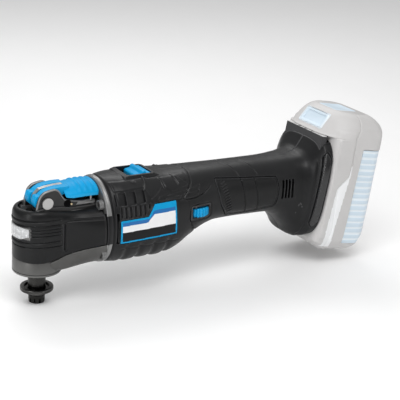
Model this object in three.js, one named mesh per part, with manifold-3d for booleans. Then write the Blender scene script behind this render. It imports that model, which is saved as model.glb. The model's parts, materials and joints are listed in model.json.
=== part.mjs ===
// Cordless oscillating multi-tool with its slide-on battery pack.
// Millimetres, +Z up. The spindle axis is the Z axis. Heights are written from the tool flange's
// clamping face, and every piece is then lifted so that the clamp rod's lower end lies at Z = 0.
// +X runs from the head along the barrel to the battery, and -Y is the tool's left side.

import * as THREE from 'three';
import { mergeVertices } from 'three/addons/utils/BufferGeometryUtils.js';
import Module from 'manifold-3d';

const wasm = await Module();
wasm.setup();

// ---------------------------------------------------------------- driving dimensions

const GAP = 0.3;                 // free space between neighbouring pieces
const WALL = 2.6;                // moulded housing wall
const REACH = 400;               // longer than the tool, for cutting blocks

const FLANGE_RADIUS = 13.1;
const FLANGE_THICK = 3.2;
const JAW_RADIUS = 6.7;
const JAW_BOTTOM = -10.2;
const JAW_TEETH = 10;
const JAW_TOP = -3.7;
const JAW_SLOT_WIDTH = 1.3;
const JAW_SLOT_DEPTH = 4.4;
const FLANGE_STEP = 7.2;         // radius of the step under the flange that centres an accessory
const FLANGE_GROOVE = 9.8;       // radius where the flange's upper face steps down
const FLANGE_CHAMFER = 0.6;
const SHAFT_RADIUS = 7;
const ROD_RADIUS = 3.4;
const ROD_TIP_RADIUS = 1.9;
const ROD_TOP = 69.6;
const ROD_BOTTOM = JAW_BOTTOM + 1.5;
const ROD_COLLAR_RADIUS = 4.7;
const ROD_COLLAR_LOW = 37.2;
const ROD_COLLAR_HIGH = 39.5;
const ROD_BORE = ROD_RADIUS + GAP;
const SPINDLE_BOTTOM = 3.5;
const SPINDLE_SHOULDER = 54.3;
const SPINDLE_TOP = 63;
const SPINDLE_TOP_RADIUS = 5.7;
const SPRING_BORE = 5.1;
const SPRING_ROOM_LOW = 20;
const SPRING_ROOM_HIGH = 40;
const SPRING_RADIUS = 4.25;
const SPRING_WIRE = 0.5;
const SPRING_TURNS = 6;

const HEAD_RADIUS = 19.6;        // outside of the black sleeve round the head
const SLEEVE_THICK = 1.4;
const SLEEVE_PROUD = 0.35;       // how far the sleeve stands out of the bare metal below it
const BOSS_BOTTOM = 16.8;
const DECK_TOP = 67;
const DECK_SLOT_FLOOR = 65;
const COLLAR_FRONT = 46.2;
const COLLAR_REAR = 50.4;

const PIN_X = 2.2;
const PIN_Z = 75;
const LUG_INNER = 9.8;
const LUG_OUTER = 12.8;
const LEVER_HALF_WIDTH = 15;
const NOSE_HALF_WIDTH = 9.4;

const MOTOR_Z = 48;              // height of the motor shaft
const TUNNEL_RADIUS = 15.5;
const ECCENTRICITY = 0.6;

const PIVOT_Z = 60;              // height where a sloping section has its stated X
const FOOT_SLOPE = 0.167;        // how the foot's rear face leans back, X per Z
const FOOT_REAR = 249.6;         // X of the foot's rear face at PIVOT_Z
const CHANNEL_DEPTH = 8.6;
const PACK_HALF_WIDTH = 37.4;
const PACK_WALL = 2.4;

const RING_POINTS = 20;

// ---------------------------------------------------------------- colours

const finishes = {
  cast_metal: { color: 0x5b5a58, roughness: 0.5, metalness: 0.7 },
  steel: { color: 0x8c8b88, roughness: 0.35, metalness: 0.9 },
  black_rubber: { color: 0x1d1e20, roughness: 0.75, metalness: 0 },
  charcoal_plastic: { color: 0x37393b, roughness: 0.6, metalness: 0 },
  blue_plastic: { color: 0x0a9be6, roughness: 0.45, metalness: 0 },
  clear_lens: { color: 0xd9dadb, roughness: 0.2, metalness: 0 },
  label_print: { color: 0x0a9be6, roughness: 0.4, metalness: 0 },
  pale_grey_plastic: { color: 0xc9c6c4, roughness: 0.55, metalness: 0 },
  pale_blue_plastic: { color: 0xcfdde8, roughness: 0.5, metalness: 0 },
  circuit_board: { color: 0x1f5c3a, roughness: 0.6, metalness: 0 },
  copper: { color: 0xb4713c, roughness: 0.4, metalness: 0.9 },
  brass: { color: 0xb99a52, roughness: 0.4, metalness: 0.9 },
  cell_wrap: { color: 0x3f6fa8, roughness: 0.5, metalness: 0 },
};

// ---------------------------------------------------------------- solids and geometry

const tool = new THREE.Group();

// closed geometry to solid
function solid(geometry) {
  const bare = geometry.clone();
  bare.deleteAttribute('normal');
  bare.deleteAttribute('uv');
  const merged = mergeVertices(bare, 1e-4);
  return new wasm.Manifold(new wasm.Mesh({
    numProp: 3,
    vertProperties: new Float32Array(merged.attributes.position.array),
    triVerts: new Uint32Array(merged.index.array),
  }));
}

// solid back to geometry
function geometryOf(body) {
  const mesh = body.getMesh();
  const geometry = new THREE.BufferGeometry();
  geometry.setAttribute('position', new THREE.BufferAttribute(new Float32Array(mesh.vertProperties), 3));
  geometry.setIndex(new THREE.BufferAttribute(new Uint32Array(mesh.triVerts), 1));
  geometry.computeVertexNormals();
  return geometry;
}

function add(name, body, finish) {
  const material = new THREE.MeshStandardMaterial(finishes[finish]);
  const mesh = new THREE.Mesh(geometryOf(body.translate([0, 0, -ROD_BOTTOM])), material);
  mesh.name = name;
  tool.add(mesh);
}

function join(...bodies) {
  return bodies.reduce((whole, next) => whole.add(next));
}

function cut(body, ...tools) {
  return tools.reduce((rest, next) => rest.subtract(next), body);
}

function box(x0, x1, y0, y1, z0, z1) {
  const geometry = new THREE.BoxGeometry(x1 - x0, y1 - y0, z1 - z0);
  geometry.translate((x0 + x1) / 2, (y0 + y1) / 2, (z0 + z1) / 2);
  return solid(geometry);
}

// round bar along X, Y or Z through (a, b), the two coordinates left over in X, Y, Z order
function bar(axis, a, b, radius, from, to, sides = 16) {
  const geometry = new THREE.CylinderGeometry(radius, radius, to - from, sides);
  const middle = (from + to) / 2;
  if (axis === 'x') {
    geometry.rotateZ(-Math.PI / 2);
    geometry.translate(middle, a, b);
  } else if (axis === 'y') {
    geometry.translate(a, middle, b);
  } else {
    geometry.rotateX(Math.PI / 2);
    geometry.translate(a, b, middle);
  }
  return solid(geometry);
}

function ring(axis, a, b, inner, outer, from, to, sides = 16) {
  return cut(bar(axis, a, b, outer, from, to, sides), bar(axis, a, b, inner, from - 1, to + 1, sides));
}

// turned piece round the Z axis from [radius, z] points that start and end on the axis
function turned(points, sides = 24) {
  const profile = points.map(([radius, z]) => new THREE.Vector2(radius, z));
  const geometry = new THREE.LatheGeometry(profile, sides);
  geometry.rotateX(Math.PI / 2);
  return solid(geometry);
}

// outline of [a, b] points pushed along the third axis from one value to another
function prism(plane, points, from, to) {
  const shape = new THREE.Shape(points.map(([a, b]) => new THREE.Vector2(a, b)));
  const geometry = new THREE.ExtrudeGeometry(shape, { depth: to - from, bevelEnabled: false });
  if (plane === 'xz') {
    geometry.rotateX(Math.PI / 2);
    geometry.translate(0, to, 0);
  } else if (plane === 'yz') {
    const turn = new THREE.Matrix4().makeBasis(
      new THREE.Vector3(0, 1, 0), new THREE.Vector3(0, 0, 1), new THREE.Vector3(1, 0, 0));
    geometry.applyMatrix4(turn);
    geometry.translate(from, 0, 0);
  } else {
    geometry.translate(0, 0, from);
  }
  return solid(geometry);
}

// closed skin over rings of the same number of points
function loft(rings) {
  const count = rings[0].length;
  const positions = rings.flat().flatMap((point) => [point.x, point.y, point.z]);
  const faces = [];
  for (let row = 0; row + 1 < rings.length; row += 1) {
    for (let i = 0; i < count; i += 1) {
      const a = row * count + i;
      const b = row * count + ((i + 1) % count);
      faces.push(a, b, a + count, b, b + count, a + count);
    }
  }
  for (const [row, first] of [[0, true], [rings.length - 1, false]]) {
    const middle = rings[row].reduce((sum, point) => sum.add(point), new THREE.Vector3());
    middle.multiplyScalar(1 / count);
    const centre = positions.length / 3;
    positions.push(middle.x, middle.y, middle.z);
    for (let i = 0; i < count; i += 1) {
      const a = row * count + i;
      const b = row * count + ((i + 1) % count);
      faces.push(centre, ...(first ? [b, a] : [a, b]));
    }
  }
  const geometry = new THREE.BufferGeometry();
  geometry.setAttribute('position', new THREE.Float32BufferAttribute(positions, 3));
  geometry.setIndex(faces);
  return solid(geometry);
}

// rounded section across the tool: an oval whose power sets how square it is
function section(station, inset) {
  const points = [];
  for (let i = 0; i < RING_POINTS; i += 1) {
    const angle = (2 * Math.PI * i) / RING_POINTS;
    const across = Math.cos(angle);
    const up = Math.sin(angle);
    const power = 2 / station.power;
    const tall = up >= 0 ? station.top - station.wide : station.wide - station.bottom;
    const y = (station.half - inset) * Math.sign(across) * Math.abs(across) ** power;
    const z = station.wide + (tall - inset) * Math.sign(up) * Math.abs(up) ** power;
    points.push(new THREE.Vector3(station.x + station.slope * (z - PIVOT_Z), y, z));
  }
  return points;
}

function station(x, half, bottom, top, wide, power, slope = 0) {
  return { x, half, bottom, top, wide, power, slope };
}

// ---------------------------------------------------------------- head

const neckStations = [
  station(0, 19.6, 20, 69.5, 45, 9),
  station(12, 20, 19.2, 68.4, 45, 8),
  station(24, 22.6, 19.8, 67.6, 46, 5),
  station(36, 26.6, 21, 68.5, 47, 3.6),
  station(COLLAR_FRONT, 29.6, 21, 70, 48, 3),
];
const SHOULDER_LOW = 64.7;
const SHOULDER_TOP = 71;
const SHOULDER_INSET = 4.4;

// head and neck pulled in by an inset; the boss is the round front with its rounded shoulder
function headShape(inset) {
  const outer = HEAD_RADIUS - inset;
  const profile = [[0, BOSS_BOTTOM], [outer, BOSS_BOTTOM], [outer, SHOULDER_LOW]];
  for (let step = 1; step <= 4; step += 1) {
    const angle = (Math.PI / 2) * (step / 4);
    profile.push([
      outer - SHOULDER_INSET * (1 - Math.cos(angle)),
      SHOULDER_LOW + (SHOULDER_TOP - inset - SHOULDER_LOW) * Math.sin(angle)]);
  }
  profile.push([0, SHOULDER_TOP - inset]);
  const boss = turned([...profile, [0, BOSS_BOTTOM]], 36);
  return join(boss, loft(neckStations.map((place) => section(place, inset))));
}

const collarOutline = section(station(0, 31.3, 17.2, 87.2, 49, 2.1), 0).map(({ y, z }) => [y, z]);

const lugOutline = [
  [-7.2, 66.5], [-6.2, 73], [-3.9, 80.5], [-0.2, 83.9], [5.2, 85], [9.3, 85.4],
  [12.5, 83.7], [15.4, 78.8], [17.8, 75.8], [25, 74.6], [31, 73.6], [42, 73.6], [42, 66.5],
];

function gearHousing() {
  const room = cut(headShape(-1), headShape(SLEEVE_THICK + GAP))
    .intersect(prism('xz', grown(sleeveOutline, GAP), -REACH, REACH));
  let body = cut(headShape(SLEEVE_PROUD), room, box(-REACH, REACH, -REACH, REACH, DECK_TOP, REACH));
  body = join(body, prism('yz', collarOutline, COLLAR_FRONT - 0.2, COLLAR_REAR));
  for (const side of [-1, 1]) {
    const y0 = side < 0 ? -LUG_OUTER : LUG_INNER;
    const lug = prism('xz', lugOutline, y0, y0 + LUG_OUTER - LUG_INNER);
    body = join(body, lug);
    body = cut(body, bar('y', PIN_X, PIN_Z, 2.6, y0 - 1, y0 + 4, 16));
    body = cut(body, bar('y', 22, 71.5, 1.5, y0 - 1, y0 + 4, 12));
  }
  return cut(body,
    box(-12, 18, -LUG_INNER, LUG_INNER, DECK_SLOT_FLOOR, 90),
    bar('z', 0, 0, 13.8, 27, 54, 32),
    bar('z', 0, 0, 16, 18.8, 29, 32),
    bar('z', 0, 0, 9, BOSS_BOTTOM - 2, 20, 24),
    bar('z', 0, 0, 11.3, 53, 63.5, 28),
    bar('z', 0, 0, ROD_RADIUS + GAP, 60, DECK_SLOT_FLOOR + 2, 20),
    bar('x', 0, MOTOR_Z, TUNNEL_RADIUS, 6, COLLAR_REAR + 1, 32),
    box(-19, -15.4, -7, 7, 45.5, 59),
    ...collarScrewPlaces.map(({ y, z }) => bar('x', y, z, 1.9, 38, COLLAR_REAR + 1, 12)),
    ...collarScrewPlaces.map(({ y, z }) => bar('x', y, z, 4.2, 20, COLLAR_FRONT - 0.4, 16)));
}

const sleeveOutline = [
  [-30, 28.9], [-20.7, 28.9], [-10, 28.2], [4, 29.6], [16, 33.6], [35, 38.4], [45.8, 40.2],
  [45.8, 66], [18.6, 66.6], [-6, 69.3], [-8, 75], [-30, 75],
];
const DECK_OPENING = 15;         // inside radius of the sleeve's top edge

function headSleeve() {
  const skin = cut(headShape(0), headShape(SLEEVE_THICK));
  return cut(skin.intersect(prism('xz', sleeveOutline, -REACH, REACH)),
    lensBlock(GAP),
    box(44.6, 60, -40, 40, 0, 100),
    bar('z', 0, 0, DECK_OPENING, 64, 90, 32),
    box(0, 60, -DECK_OPENING, DECK_OPENING, 64, 90));
}

// wedge in front of the head that bounds the lens
function lensBlock(extra) {
  const half = 14.8 + extra;
  const outline = [
    [-half, 50], [-9, 47.3 - extra], [9, 47.3 - extra], [half, 50],
    [half, 56.4 + extra], [8, 57.2 + extra], [-8, 57.2 + extra], [-half, 56.4 + extra],
  ];
  return prism('yz', outline, -30, -5);
}

function ledLens() {
  const arc = ring('z', 0, 0, HEAD_RADIUS - SLEEVE_THICK, HEAD_RADIUS + 0.3, 40, 62, 36);
  return arc.intersect(lensBlock(0));
}

function ledBoard() {
  const led = bar('x', 0, 52, 2.4, -17.6, -16.6, 12);
  return join(box(-16.7, -15.7, -6, 6, 46.5, 58), led);
}

const collarScrewPlaces = [];
for (const [name, z, half] of [['upper', 70.2, 19.8], ['lower', 30.6, 22.4]]) {
  for (const [sideName, side] of [['left', -1], ['right', 1]]) {
    collarScrewPlaces.push({ name: `collar_screw_${name}_${sideName}`, y: side * half, z });
  }
}

function collarScrew({ y, z }) {
  const head = cut(bar('x', y, z, 3.1, COLLAR_FRONT - 3.4, COLLAR_FRONT - 0.6, 12),
    bar('x', y, z, 1.4, COLLAR_FRONT - 5, COLLAR_FRONT - 1.8, 6));
  return join(head, bar('x', y, z, 1.5, COLLAR_FRONT - 0.8, COLLAR_REAR + 4, 8));
}

// ---------------------------------------------------------------- spindle, clamp and lever

function spindle() {
  return turned([
    [ROD_BORE, SPINDLE_BOTTOM], [SHAFT_RADIUS, SPINDLE_BOTTOM], [SHAFT_RADIUS, SPINDLE_SHOULDER],
    [SPINDLE_TOP_RADIUS, SPINDLE_SHOULDER], [SPINDLE_TOP_RADIUS, SPINDLE_TOP], [ROD_BORE, SPINDLE_TOP],
    [ROD_BORE, SPRING_ROOM_HIGH], [SPRING_BORE, SPRING_ROOM_HIGH], [SPRING_BORE, SPRING_ROOM_LOW],
    [ROD_BORE, SPRING_ROOM_LOW], [ROD_BORE, SPINDLE_BOTTOM],
  ]);
}

function toolFlange() {
  const stepBottom = JAW_TOP + 0.4;
  const floor = 1.5;
  const edge = FLANGE_RADIUS - FLANGE_CHAMFER;
  const shaftBore = SHAFT_RADIUS + GAP;
  return turned([
    [ROD_BORE, stepBottom], [FLANGE_STEP, stepBottom], [FLANGE_STEP, 0], [edge, 0],
    [FLANGE_RADIUS, FLANGE_CHAMFER], [FLANGE_RADIUS, FLANGE_THICK - FLANGE_CHAMFER], [edge, FLANGE_THICK],
    [FLANGE_GROOVE, FLANGE_THICK], [FLANGE_GROOVE, floor], [shaftBore, floor], [shaftBore, FLANGE_THICK],
    [ROD_BORE, FLANGE_THICK], [ROD_BORE, stepBottom],
  ], 28);
}

function clampJaws() {
  let body = turned([
    [ROD_BORE, JAW_BOTTOM], [JAW_RADIUS - 0.4, JAW_BOTTOM], [JAW_RADIUS, JAW_TOP - 0.8],
    [JAW_RADIUS, JAW_TOP], [ROD_BORE, JAW_TOP], [ROD_BORE, JAW_BOTTOM],
  ], 30);
  for (let i = 0; i < JAW_TEETH; i += 1) {
    const slot = new THREE.BoxGeometry(JAW_RADIUS - 0.7, JAW_SLOT_WIDTH, JAW_SLOT_DEPTH);
    slot.translate(JAW_RADIUS, 0, JAW_BOTTOM + 1);
    slot.rotateZ((2 * Math.PI * i) / JAW_TEETH);
    body = cut(body, solid(slot));
  }
  return body;
}

function clampRod() {
  return join(
    bar('z', 0, 0, ROD_RADIUS, ROD_BOTTOM, ROD_TOP - 5, 16),
    bar('z', 0, 0, ROD_TIP_RADIUS, ROD_TOP - 6, ROD_TOP, 12),
    bar('z', 0, 0, ROD_COLLAR_RADIUS, ROD_COLLAR_LOW, ROD_COLLAR_HIGH, 16));
}

function coil(radius, wire, from, to, turns) {
  class Helix extends THREE.Curve {
    getPoint(t) {
      const angle = 2 * Math.PI * turns * t;
      return new THREE.Vector3(radius * Math.cos(angle), radius * Math.sin(angle), from + (to - from) * t);
    }
  }
  const round = new THREE.Shape();
  round.absarc(0, 0, wire, 0, 2 * Math.PI);
  return new THREE.ExtrudeGeometry(round, {
    steps: Math.round(turns * 9), curveSegments: 2, extrudePath: new Helix(), bevelEnabled: false,
  });
}

function clampSpring() {
  return solid(coil(SPRING_RADIUS, SPRING_WIRE, SPRING_ROOM_LOW + 1, ROD_COLLAR_LOW - 0.8, SPRING_TURNS));
}

const PIN_BORE = 2.6;
const PIN_RADIUS = 2.3;
const PIN_HEAD_RADIUS = 4.5;
const PIN_HEAD_THICK = 1.5;
const CAM_LOW = 6.3;             // cam radius over the rod when the lever is down
const CAM_HIGH = 8.9;
const CAM_STEPS = 14;
const CAM_START = Math.PI * 0.3;
const CAM_TURN = Math.PI * 0.9;
const STRIP_HALF = 2;            // half width of the steel strip in the lever's nose
const PLATE_POINTS = 12;
const PLATE_THICK = 3.4;
const PLATE_DROP = 6.4;          // how far the plate's edges hang below its middle
const PLATE_DROP_BELOW = 4.6;
const PLATE_CURVE = 2.3;

// points round the cam, from a radius that follows the angle
function camOutline(radiusAt) {
  const outline = [];
  for (let step = 0; step <= CAM_STEPS; step += 1) {
    const angle = -CAM_START - (step / CAM_STEPS) * CAM_TURN;
    const radius = radiusAt(-angle);
    outline.push([PIN_X + radius * Math.cos(angle), PIN_Z + radius * Math.sin(angle)]);
  }
  return outline;
}

// the cam's radius grows from the underside to the front
function camRadius(turn) {
  return CAM_LOW + (CAM_HIGH - CAM_LOW) * THREE.MathUtils.smoothstep(turn, Math.PI / 2, Math.PI * 0.95);
}

// half of a plate section: points across, hanging down towards the edges
function plateArc(x, from, half, drop) {
  const points = [];
  for (let i = 0; i <= PLATE_POINTS; i += 1) {
    const y = half * (1 - (2 * i) / PLATE_POINTS);
    points.push(new THREE.Vector3(x, y, from - drop * Math.abs(y / LEVER_HALF_WIDTH) ** PLATE_CURVE));
  }
  return points;
}

function clampLever() {
  const nose = camOutline(camRadius);
  nose.push([0.5, 83.6], [6, 84.7], [14, 85.3], [24, 85.4], [24, 80.2], [19, 79.6], [13, 76.5]);
  const narrow = prism('xz', nose, -NOSE_HALF_WIDTH, NOSE_HALF_WIDTH);
  const places = [
    [18.2, 84.6, 12.4], [22, 85.6, 14.4], [34, 86.6, LEVER_HALF_WIDTH], [45.5, 86.2, LEVER_HALF_WIDTH],
  ];
  const plate = places.map(([x, top, half]) => [
    ...plateArc(x, top, half, PLATE_DROP),
    ...plateArc(x, top - PLATE_THICK, -half, PLATE_DROP_BELOW),
  ]);
  const slotHalf = STRIP_HALF + GAP;
  return cut(join(narrow, loft(plate)),
    bar('y', PIN_X, PIN_Z, PIN_BORE, -LUG_OUTER, LUG_OUTER, 20),
    box(-9, 22, -slotHalf, slotHalf, 62, 90));
}

// steel cam strip let into the middle of the lever's nose, which presses on the rod
function leverInsert() {
  const outline = camOutline((turn) => {
    const grow = THREE.MathUtils.clamp((turn - Math.PI / 2) / (Math.PI * 0.611), 0, 1);
    return CAM_LOW - 1.3 + 2.1 * grow;
  });
  outline.push([0.5, 83], [6, 84.2], [14, 84.8], [21.6, 85], [21.6, 80.2], [18.5, 79.8], [13, 77]);
  return cut(prism('xz', outline, -STRIP_HALF, STRIP_HALF), bar('y', PIN_X, PIN_Z, PIN_BORE, -3, 3, 20));
}

function leverPin() {
  const inner = LUG_OUTER + GAP;
  const outer = inner + PIN_HEAD_THICK;
  return join(
    bar('y', PIN_X, PIN_Z, PIN_HEAD_RADIUS, inner, outer, 24),
    bar('y', PIN_X, PIN_Z, PIN_HEAD_RADIUS, -outer, -inner, 24),
    bar('y', PIN_X, PIN_Z, PIN_RADIUS, -LUG_OUTER - 1, LUG_OUTER + 1, 20));
}

// fork that the eccentric swings; its hub is clamped on the spindle
const HUB_RADIUS = 11;
const HUB_LOW = 43;
const HUB_HIGH = 53;
const FORK_GAP_HALF = 8.5;
const FORK_HALF = 11.5;
const FORK_LOW = 42;
const FORK_HIGH = 54;

function oscillatingFork() {
  const hub = ring('z', 0, 0, SHAFT_RADIUS + GAP, HUB_RADIUS, HUB_LOW, HUB_HIGH, 28);
  const arm = cut(box(8, 22, -8, 8, HUB_LOW, HUB_HIGH), bar('z', 0, 0, 9, HUB_LOW - 1, HUB_HIGH + 1, 28));
  const bridge = box(18, 22, -FORK_HALF, FORK_HALF, FORK_LOW, FORK_HIGH);
  const tines = [-1, 1].map((side) => {
    const [near, far] = [FORK_GAP_HALF * side, FORK_HALF * side].sort((a, b) => a - b);
    return box(21, 35, near, far, FORK_LOW, FORK_HIGH);
  });
  return join(hub, arm, bridge, ...tines);
}

// ---------------------------------------------------------------- motor

// stations along X, from the eccentric back to the rear bearing
const ECCENTRIC_FRONT = 25;
const ECCENTRIC_REAR = 34;
const WEIGHT_FRONT = 36;
const WEIGHT_REAR = 40.5;
const GEARBOX_BEARING_FRONT = 43.5;
const FRONT_MOUNT = 56;
const FAN_FRONT = 62;
const FAN_REAR = 67;
const STATOR_FRONT = 69;
const STATOR_REAR = 104;
const REAR_MOUNT = 110;
const SHAFT_REAR = 119;
const MOUNT_THICK = 4;

const MOTOR_SHAFT_RADIUS = 2.5;
const SHAFT_BORE = MOTOR_SHAFT_RADIUS + GAP;
const ECCENTRIC_RADIUS = 3.1;
const MOTOR_BEARING_RADIUS = 7.9;
const BEARING_SEAT = MOTOR_BEARING_RADIUS + GAP;
const ROTOR_RADIUS = 11.8;
const STATOR_RADIUS = 20.5;
const FAN_RADIUS = 18.5;
const FAN_BLADES = 7;

function motorShaft() {
  return join(
    bar('x', 0, MOTOR_Z, MOTOR_SHAFT_RADIUS, ECCENTRIC_REAR, SHAFT_REAR, 16),
    bar('x', ECCENTRICITY, MOTOR_Z, ECCENTRIC_RADIUS, ECCENTRIC_FRONT, ECCENTRIC_REAR + 1, 16));
}

function counterweight() {
  const disc = ring('x', 0, MOTOR_Z, SHAFT_BORE, 9, WEIGHT_FRONT, WEIGHT_REAR, 28);
  return cut(disc, box(WEIGHT_FRONT - 1, WEIGHT_REAR + 1, 3.5, 20, MOTOR_Z - 18, MOTOR_Z + 18));
}

function rotor() {
  return ring('x', 0, MOTOR_Z, SHAFT_BORE, ROTOR_RADIUS, STATOR_FRONT + 1, STATOR_REAR - 1, 20);
}

function stator() {
  let body = ring('x', 0, MOTOR_Z, ROTOR_RADIUS + 0.5, STATOR_RADIUS, STATOR_FRONT, STATOR_REAR, 24);
  for (let i = 0; i < 4; i += 1) {
    const angle = (Math.PI / 2) * i + Math.PI / 4;
    const y = (STATOR_RADIUS + 0.5) * Math.cos(angle);
    const z = MOTOR_Z + (STATOR_RADIUS + 0.5) * Math.sin(angle);
    body = cut(body, bar('x', y, z, 2.2, STATOR_FRONT - 1, STATOR_REAR + 1, 10));
  }
  return body;
}

function coolingFan() {
  const bladeLength = 12.4;
  const discThick = 1.4;
  let body = join(
    ring('x', 0, MOTOR_Z, SHAFT_BORE, FAN_RADIUS, FAN_FRONT, FAN_FRONT + discThick, 20),
    ring('x', 0, MOTOR_Z, SHAFT_BORE, 6, FAN_FRONT, FAN_REAR, 14));
  for (let i = 0; i < FAN_BLADES; i += 1) {
    const blade = new THREE.BoxGeometry(4, bladeLength, 1.2);
    blade.translate(FAN_REAR - 1.9, FAN_RADIUS - 0.7 - bladeLength / 2, 0);
    blade.rotateX((2 * Math.PI * i) / FAN_BLADES);
    blade.translate(0, 0, MOTOR_Z);
    body = join(body, solid(blade));
  }
  return body;
}

function motorBearing(from) {
  return ring('x', 0, MOTOR_Z, SHAFT_BORE, MOTOR_BEARING_RADIUS, from, from + MOUNT_THICK);
}

// plate that holds a motor bearing, notched above and below for the wires
function motorMount(from) {
  const to = from + MOUNT_THICK;
  const notch = (low) => box(from - 1, to + 1, -3, 3, MOTOR_Z + low, MOTOR_Z + low + 7);
  return cut(ring('x', 0, MOTOR_Z, BEARING_SEAT, 22, from, to, 20), notch(11), notch(-18));
}

// ---------------------------------------------------------------- housing shells

const bodyStations = [
  station(COLLAR_REAR + GAP, 30.2, 17.3, 86.4, 49, 2.1),
  station(57, 30.6, 16.8, 87, 49, 2.3),
  station(64, 30.9, 16.6, 87.3, 49, 2.5),
  station(80, 31, 17.2, 87.3, 50, 2.6),
  station(96, 30.8, 16.9, 86.8, 51, 2.6),
  station(106, 30.4, 18.2, 85.6, 52, 2.6),
  station(114, 29.9, 21.3, 85.3, 53, 2.6),
  station(123, 29, 27, 85.2, 55, 2.5),
  station(132, 27.9, 32.6, 85, 57, 2.4),
  station(142, 26.4, 36.6, 84.8, 59, 2.4),
  station(152, 25.2, 38.6, 84.6, 60, 2.4),
  station(166, 24.6, 38.8, 84.3, 60, 2.4),
  station(186, 24.4, 38.3, 84, 60, 2.4),
  station(204, 24.4, 37.6, 83.8, 60, 2.4),
  station(214, 24.6, 34, 84, 59, 2.5, 0.02),
  station(222, 24.9, 28, 84.5, 58, 2.7, 0.05),
  station(229, 25.6, 21.6, 85.2, 57, 3, 0.09),
  station(233.5, 27, 16.8, 86, 57, 3.3, 0.12),
  station(236, 28.6, 14.8, 88.4, 57, 3.6, 0.14),
  station(238.6, 31.2, 13.6, 93.5, 57, 3.9, 0.155),
  station(241.2, 34.2, 13, 99, 57, 4.2, 0.165),
  station(243.6, 36.4, 13, 102, 57, 4.3, FOOT_SLOPE),
  station(FOOT_REAR, 37.5, 13.4, 103, 57, 4.4, FOOT_SLOPE),
];

// outside of the barrel, grip and foot pulled in by an inset
function bodyShape(inset) {
  return loft(bodyStations.map((place) => section(place, inset)));
}

function bodyHollow() {
  const inside = bodyStations.filter(({ x }) => x < 236).map((place) => section(place, WALL));
  return loft(inside);
}

// hump round the slide switch
const HUMP_HALF = 15;
const SWITCH_FLOOR = 81.4;
const SWITCH_HALF = 10.6;
const SWITCH_REAR = 93.4;
const SWITCH_LENGTH = 15.4;
const SWITCH_TRAVEL = 6;

function switchHump() {
  const side = [
    [67, 80], [67.6, 86.6], [72, 88.3], [88.7, 88.7], [95, 87.8], [99.5, 85.8], [101, 84.4], [101, 80],
  ];
  const across = [
    [-HUMP_HALF, 80], [-HUMP_HALF, 84.4], [-12.4, 87.4], [-7, 88.8], [7, 88.8],
    [12.4, 87.4], [HUMP_HALF, 84.4], [HUMP_HALF, 80],
  ];
  return prism('xz', side, -HUMP_HALF, HUMP_HALF).intersect(prism('yz', across, 50, 120));
}

// floor and side walls left standing under the slide switch
function switchTray() {
  return box(68, 97, -SWITCH_HALF - 3, SWITCH_HALF + 3, SWITCH_FLOOR - 2.2, 100);
}

const gripOutline = [
  [146, 78.6], [170, 75.4], [199, 72.6], [205, 69], [209, 60], [205, 50], [192, 45.6],
  [175, 44.8], [158.5, 46], [150.5, 58], [147.4, 70],
];

// outline with every edge moved outwards by a distance
function grown(outline, distance) {
  const count = outline.length;
  const turn = Math.sign(THREE.ShapeUtils.area(outline.map(([a, b]) => new THREE.Vector2(a, b))));
  const normals = outline.map(([a, b], i) => {
    const [c, d] = outline[(i + 1) % count];
    return new THREE.Vector2(d - b, a - c).normalize().multiplyScalar(turn);
  });
  return outline.map(([a, b], i) => {
    const before = normals[(i + count - 1) % count];
    const after = normals[i];
    const reach = distance / (1 + before.dot(after));
    return [a + (before.x + after.x) * reach, b + (before.y + after.y) * reach];
  });
}

const OUTSIDE = 1;               // how far a cutter stands out of the surface it cuts

// pads let into the surface of the body on both sides, from one depth to another
function surfacePads(outline, from, depth) {
  const skin = cut(bodyShape(from), bodyShape(depth));
  return cut(skin.intersect(prism('xz', outline, -60, 60)), box(-REACH, REACH, -8, 8, -REACH, REACH));
}

// room for such pads, with a gap all round
function surfacePockets(outline, depth) {
  return surfacePads(grown(outline, GAP), -OUTSIDE, depth + GAP);
}

const labelOutline = [
  [57.4, 39], [108.4, 40.1], [106.7, 68.1], [87.3, 67.8], [81.4, 58.4], [57.2, 57.9],
];
const LABEL_DEPTH = 0.8;
const GRIP_DEPTH = 1.4;
const bumperOutline = [
  [238.4, 26], [243.4, 30], [249.6, 66], [253.2, 86], [250.4, 92], [246.4, 88], [240.6, 55], [236.2, 30],
];
const BUMPER_DEPTH = 1.6;

const DIAL_X = 131;
const DIAL_Y = -17.2;
const DIAL_RADIUS = 12;
const DIAL_BOTTOM = 50;
const DIAL_TOP = 59;
const DIAL_WINDOW_HALF = 8.8;
const DIAL_NOTCHES = 12;

const VENT_COUNT = 4;

function ventSlots() {
  const slots = [];
  for (let i = 0; i < VENT_COUNT; i += 1) {
    const x = 212 + i * 3.2;
    const outline = [[x, 69.5], [x + 1.7, 69.5], [x + 1.4, 53], [x - 0.3, 53]];
    slots.push(prism('xz', outline, -60, -14), prism('xz', outline, 14, 60));
  }
  return slots;
}

// frame of the foot's rear face: u runs up the face and v runs away from the body
const faceUp = new THREE.Vector3(FOOT_SLOPE, 0, 1).normalize();
const faceOut = new THREE.Vector3(1, 0, -FOOT_SLOPE).normalize();

// block in the face's frame: across, up from the pivot height, and out from the face
function faceBlock(y0, y1, up0, up1, out0, out1) {
  const geometry = new THREE.BoxGeometry(out1 - out0, y1 - y0, up1 - up0);
  geometry.translate((out0 + out1) / 2, (y0 + y1) / 2, (up0 + up1) / 2);
  const place = new THREE.Matrix4().makeBasis(faceOut, new THREE.Vector3(0, 1, 0), faceUp);
  place.setPosition(FOOT_REAR, 0, PIVOT_Z);
  geometry.applyMatrix4(place);
  return solid(geometry);
}

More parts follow.
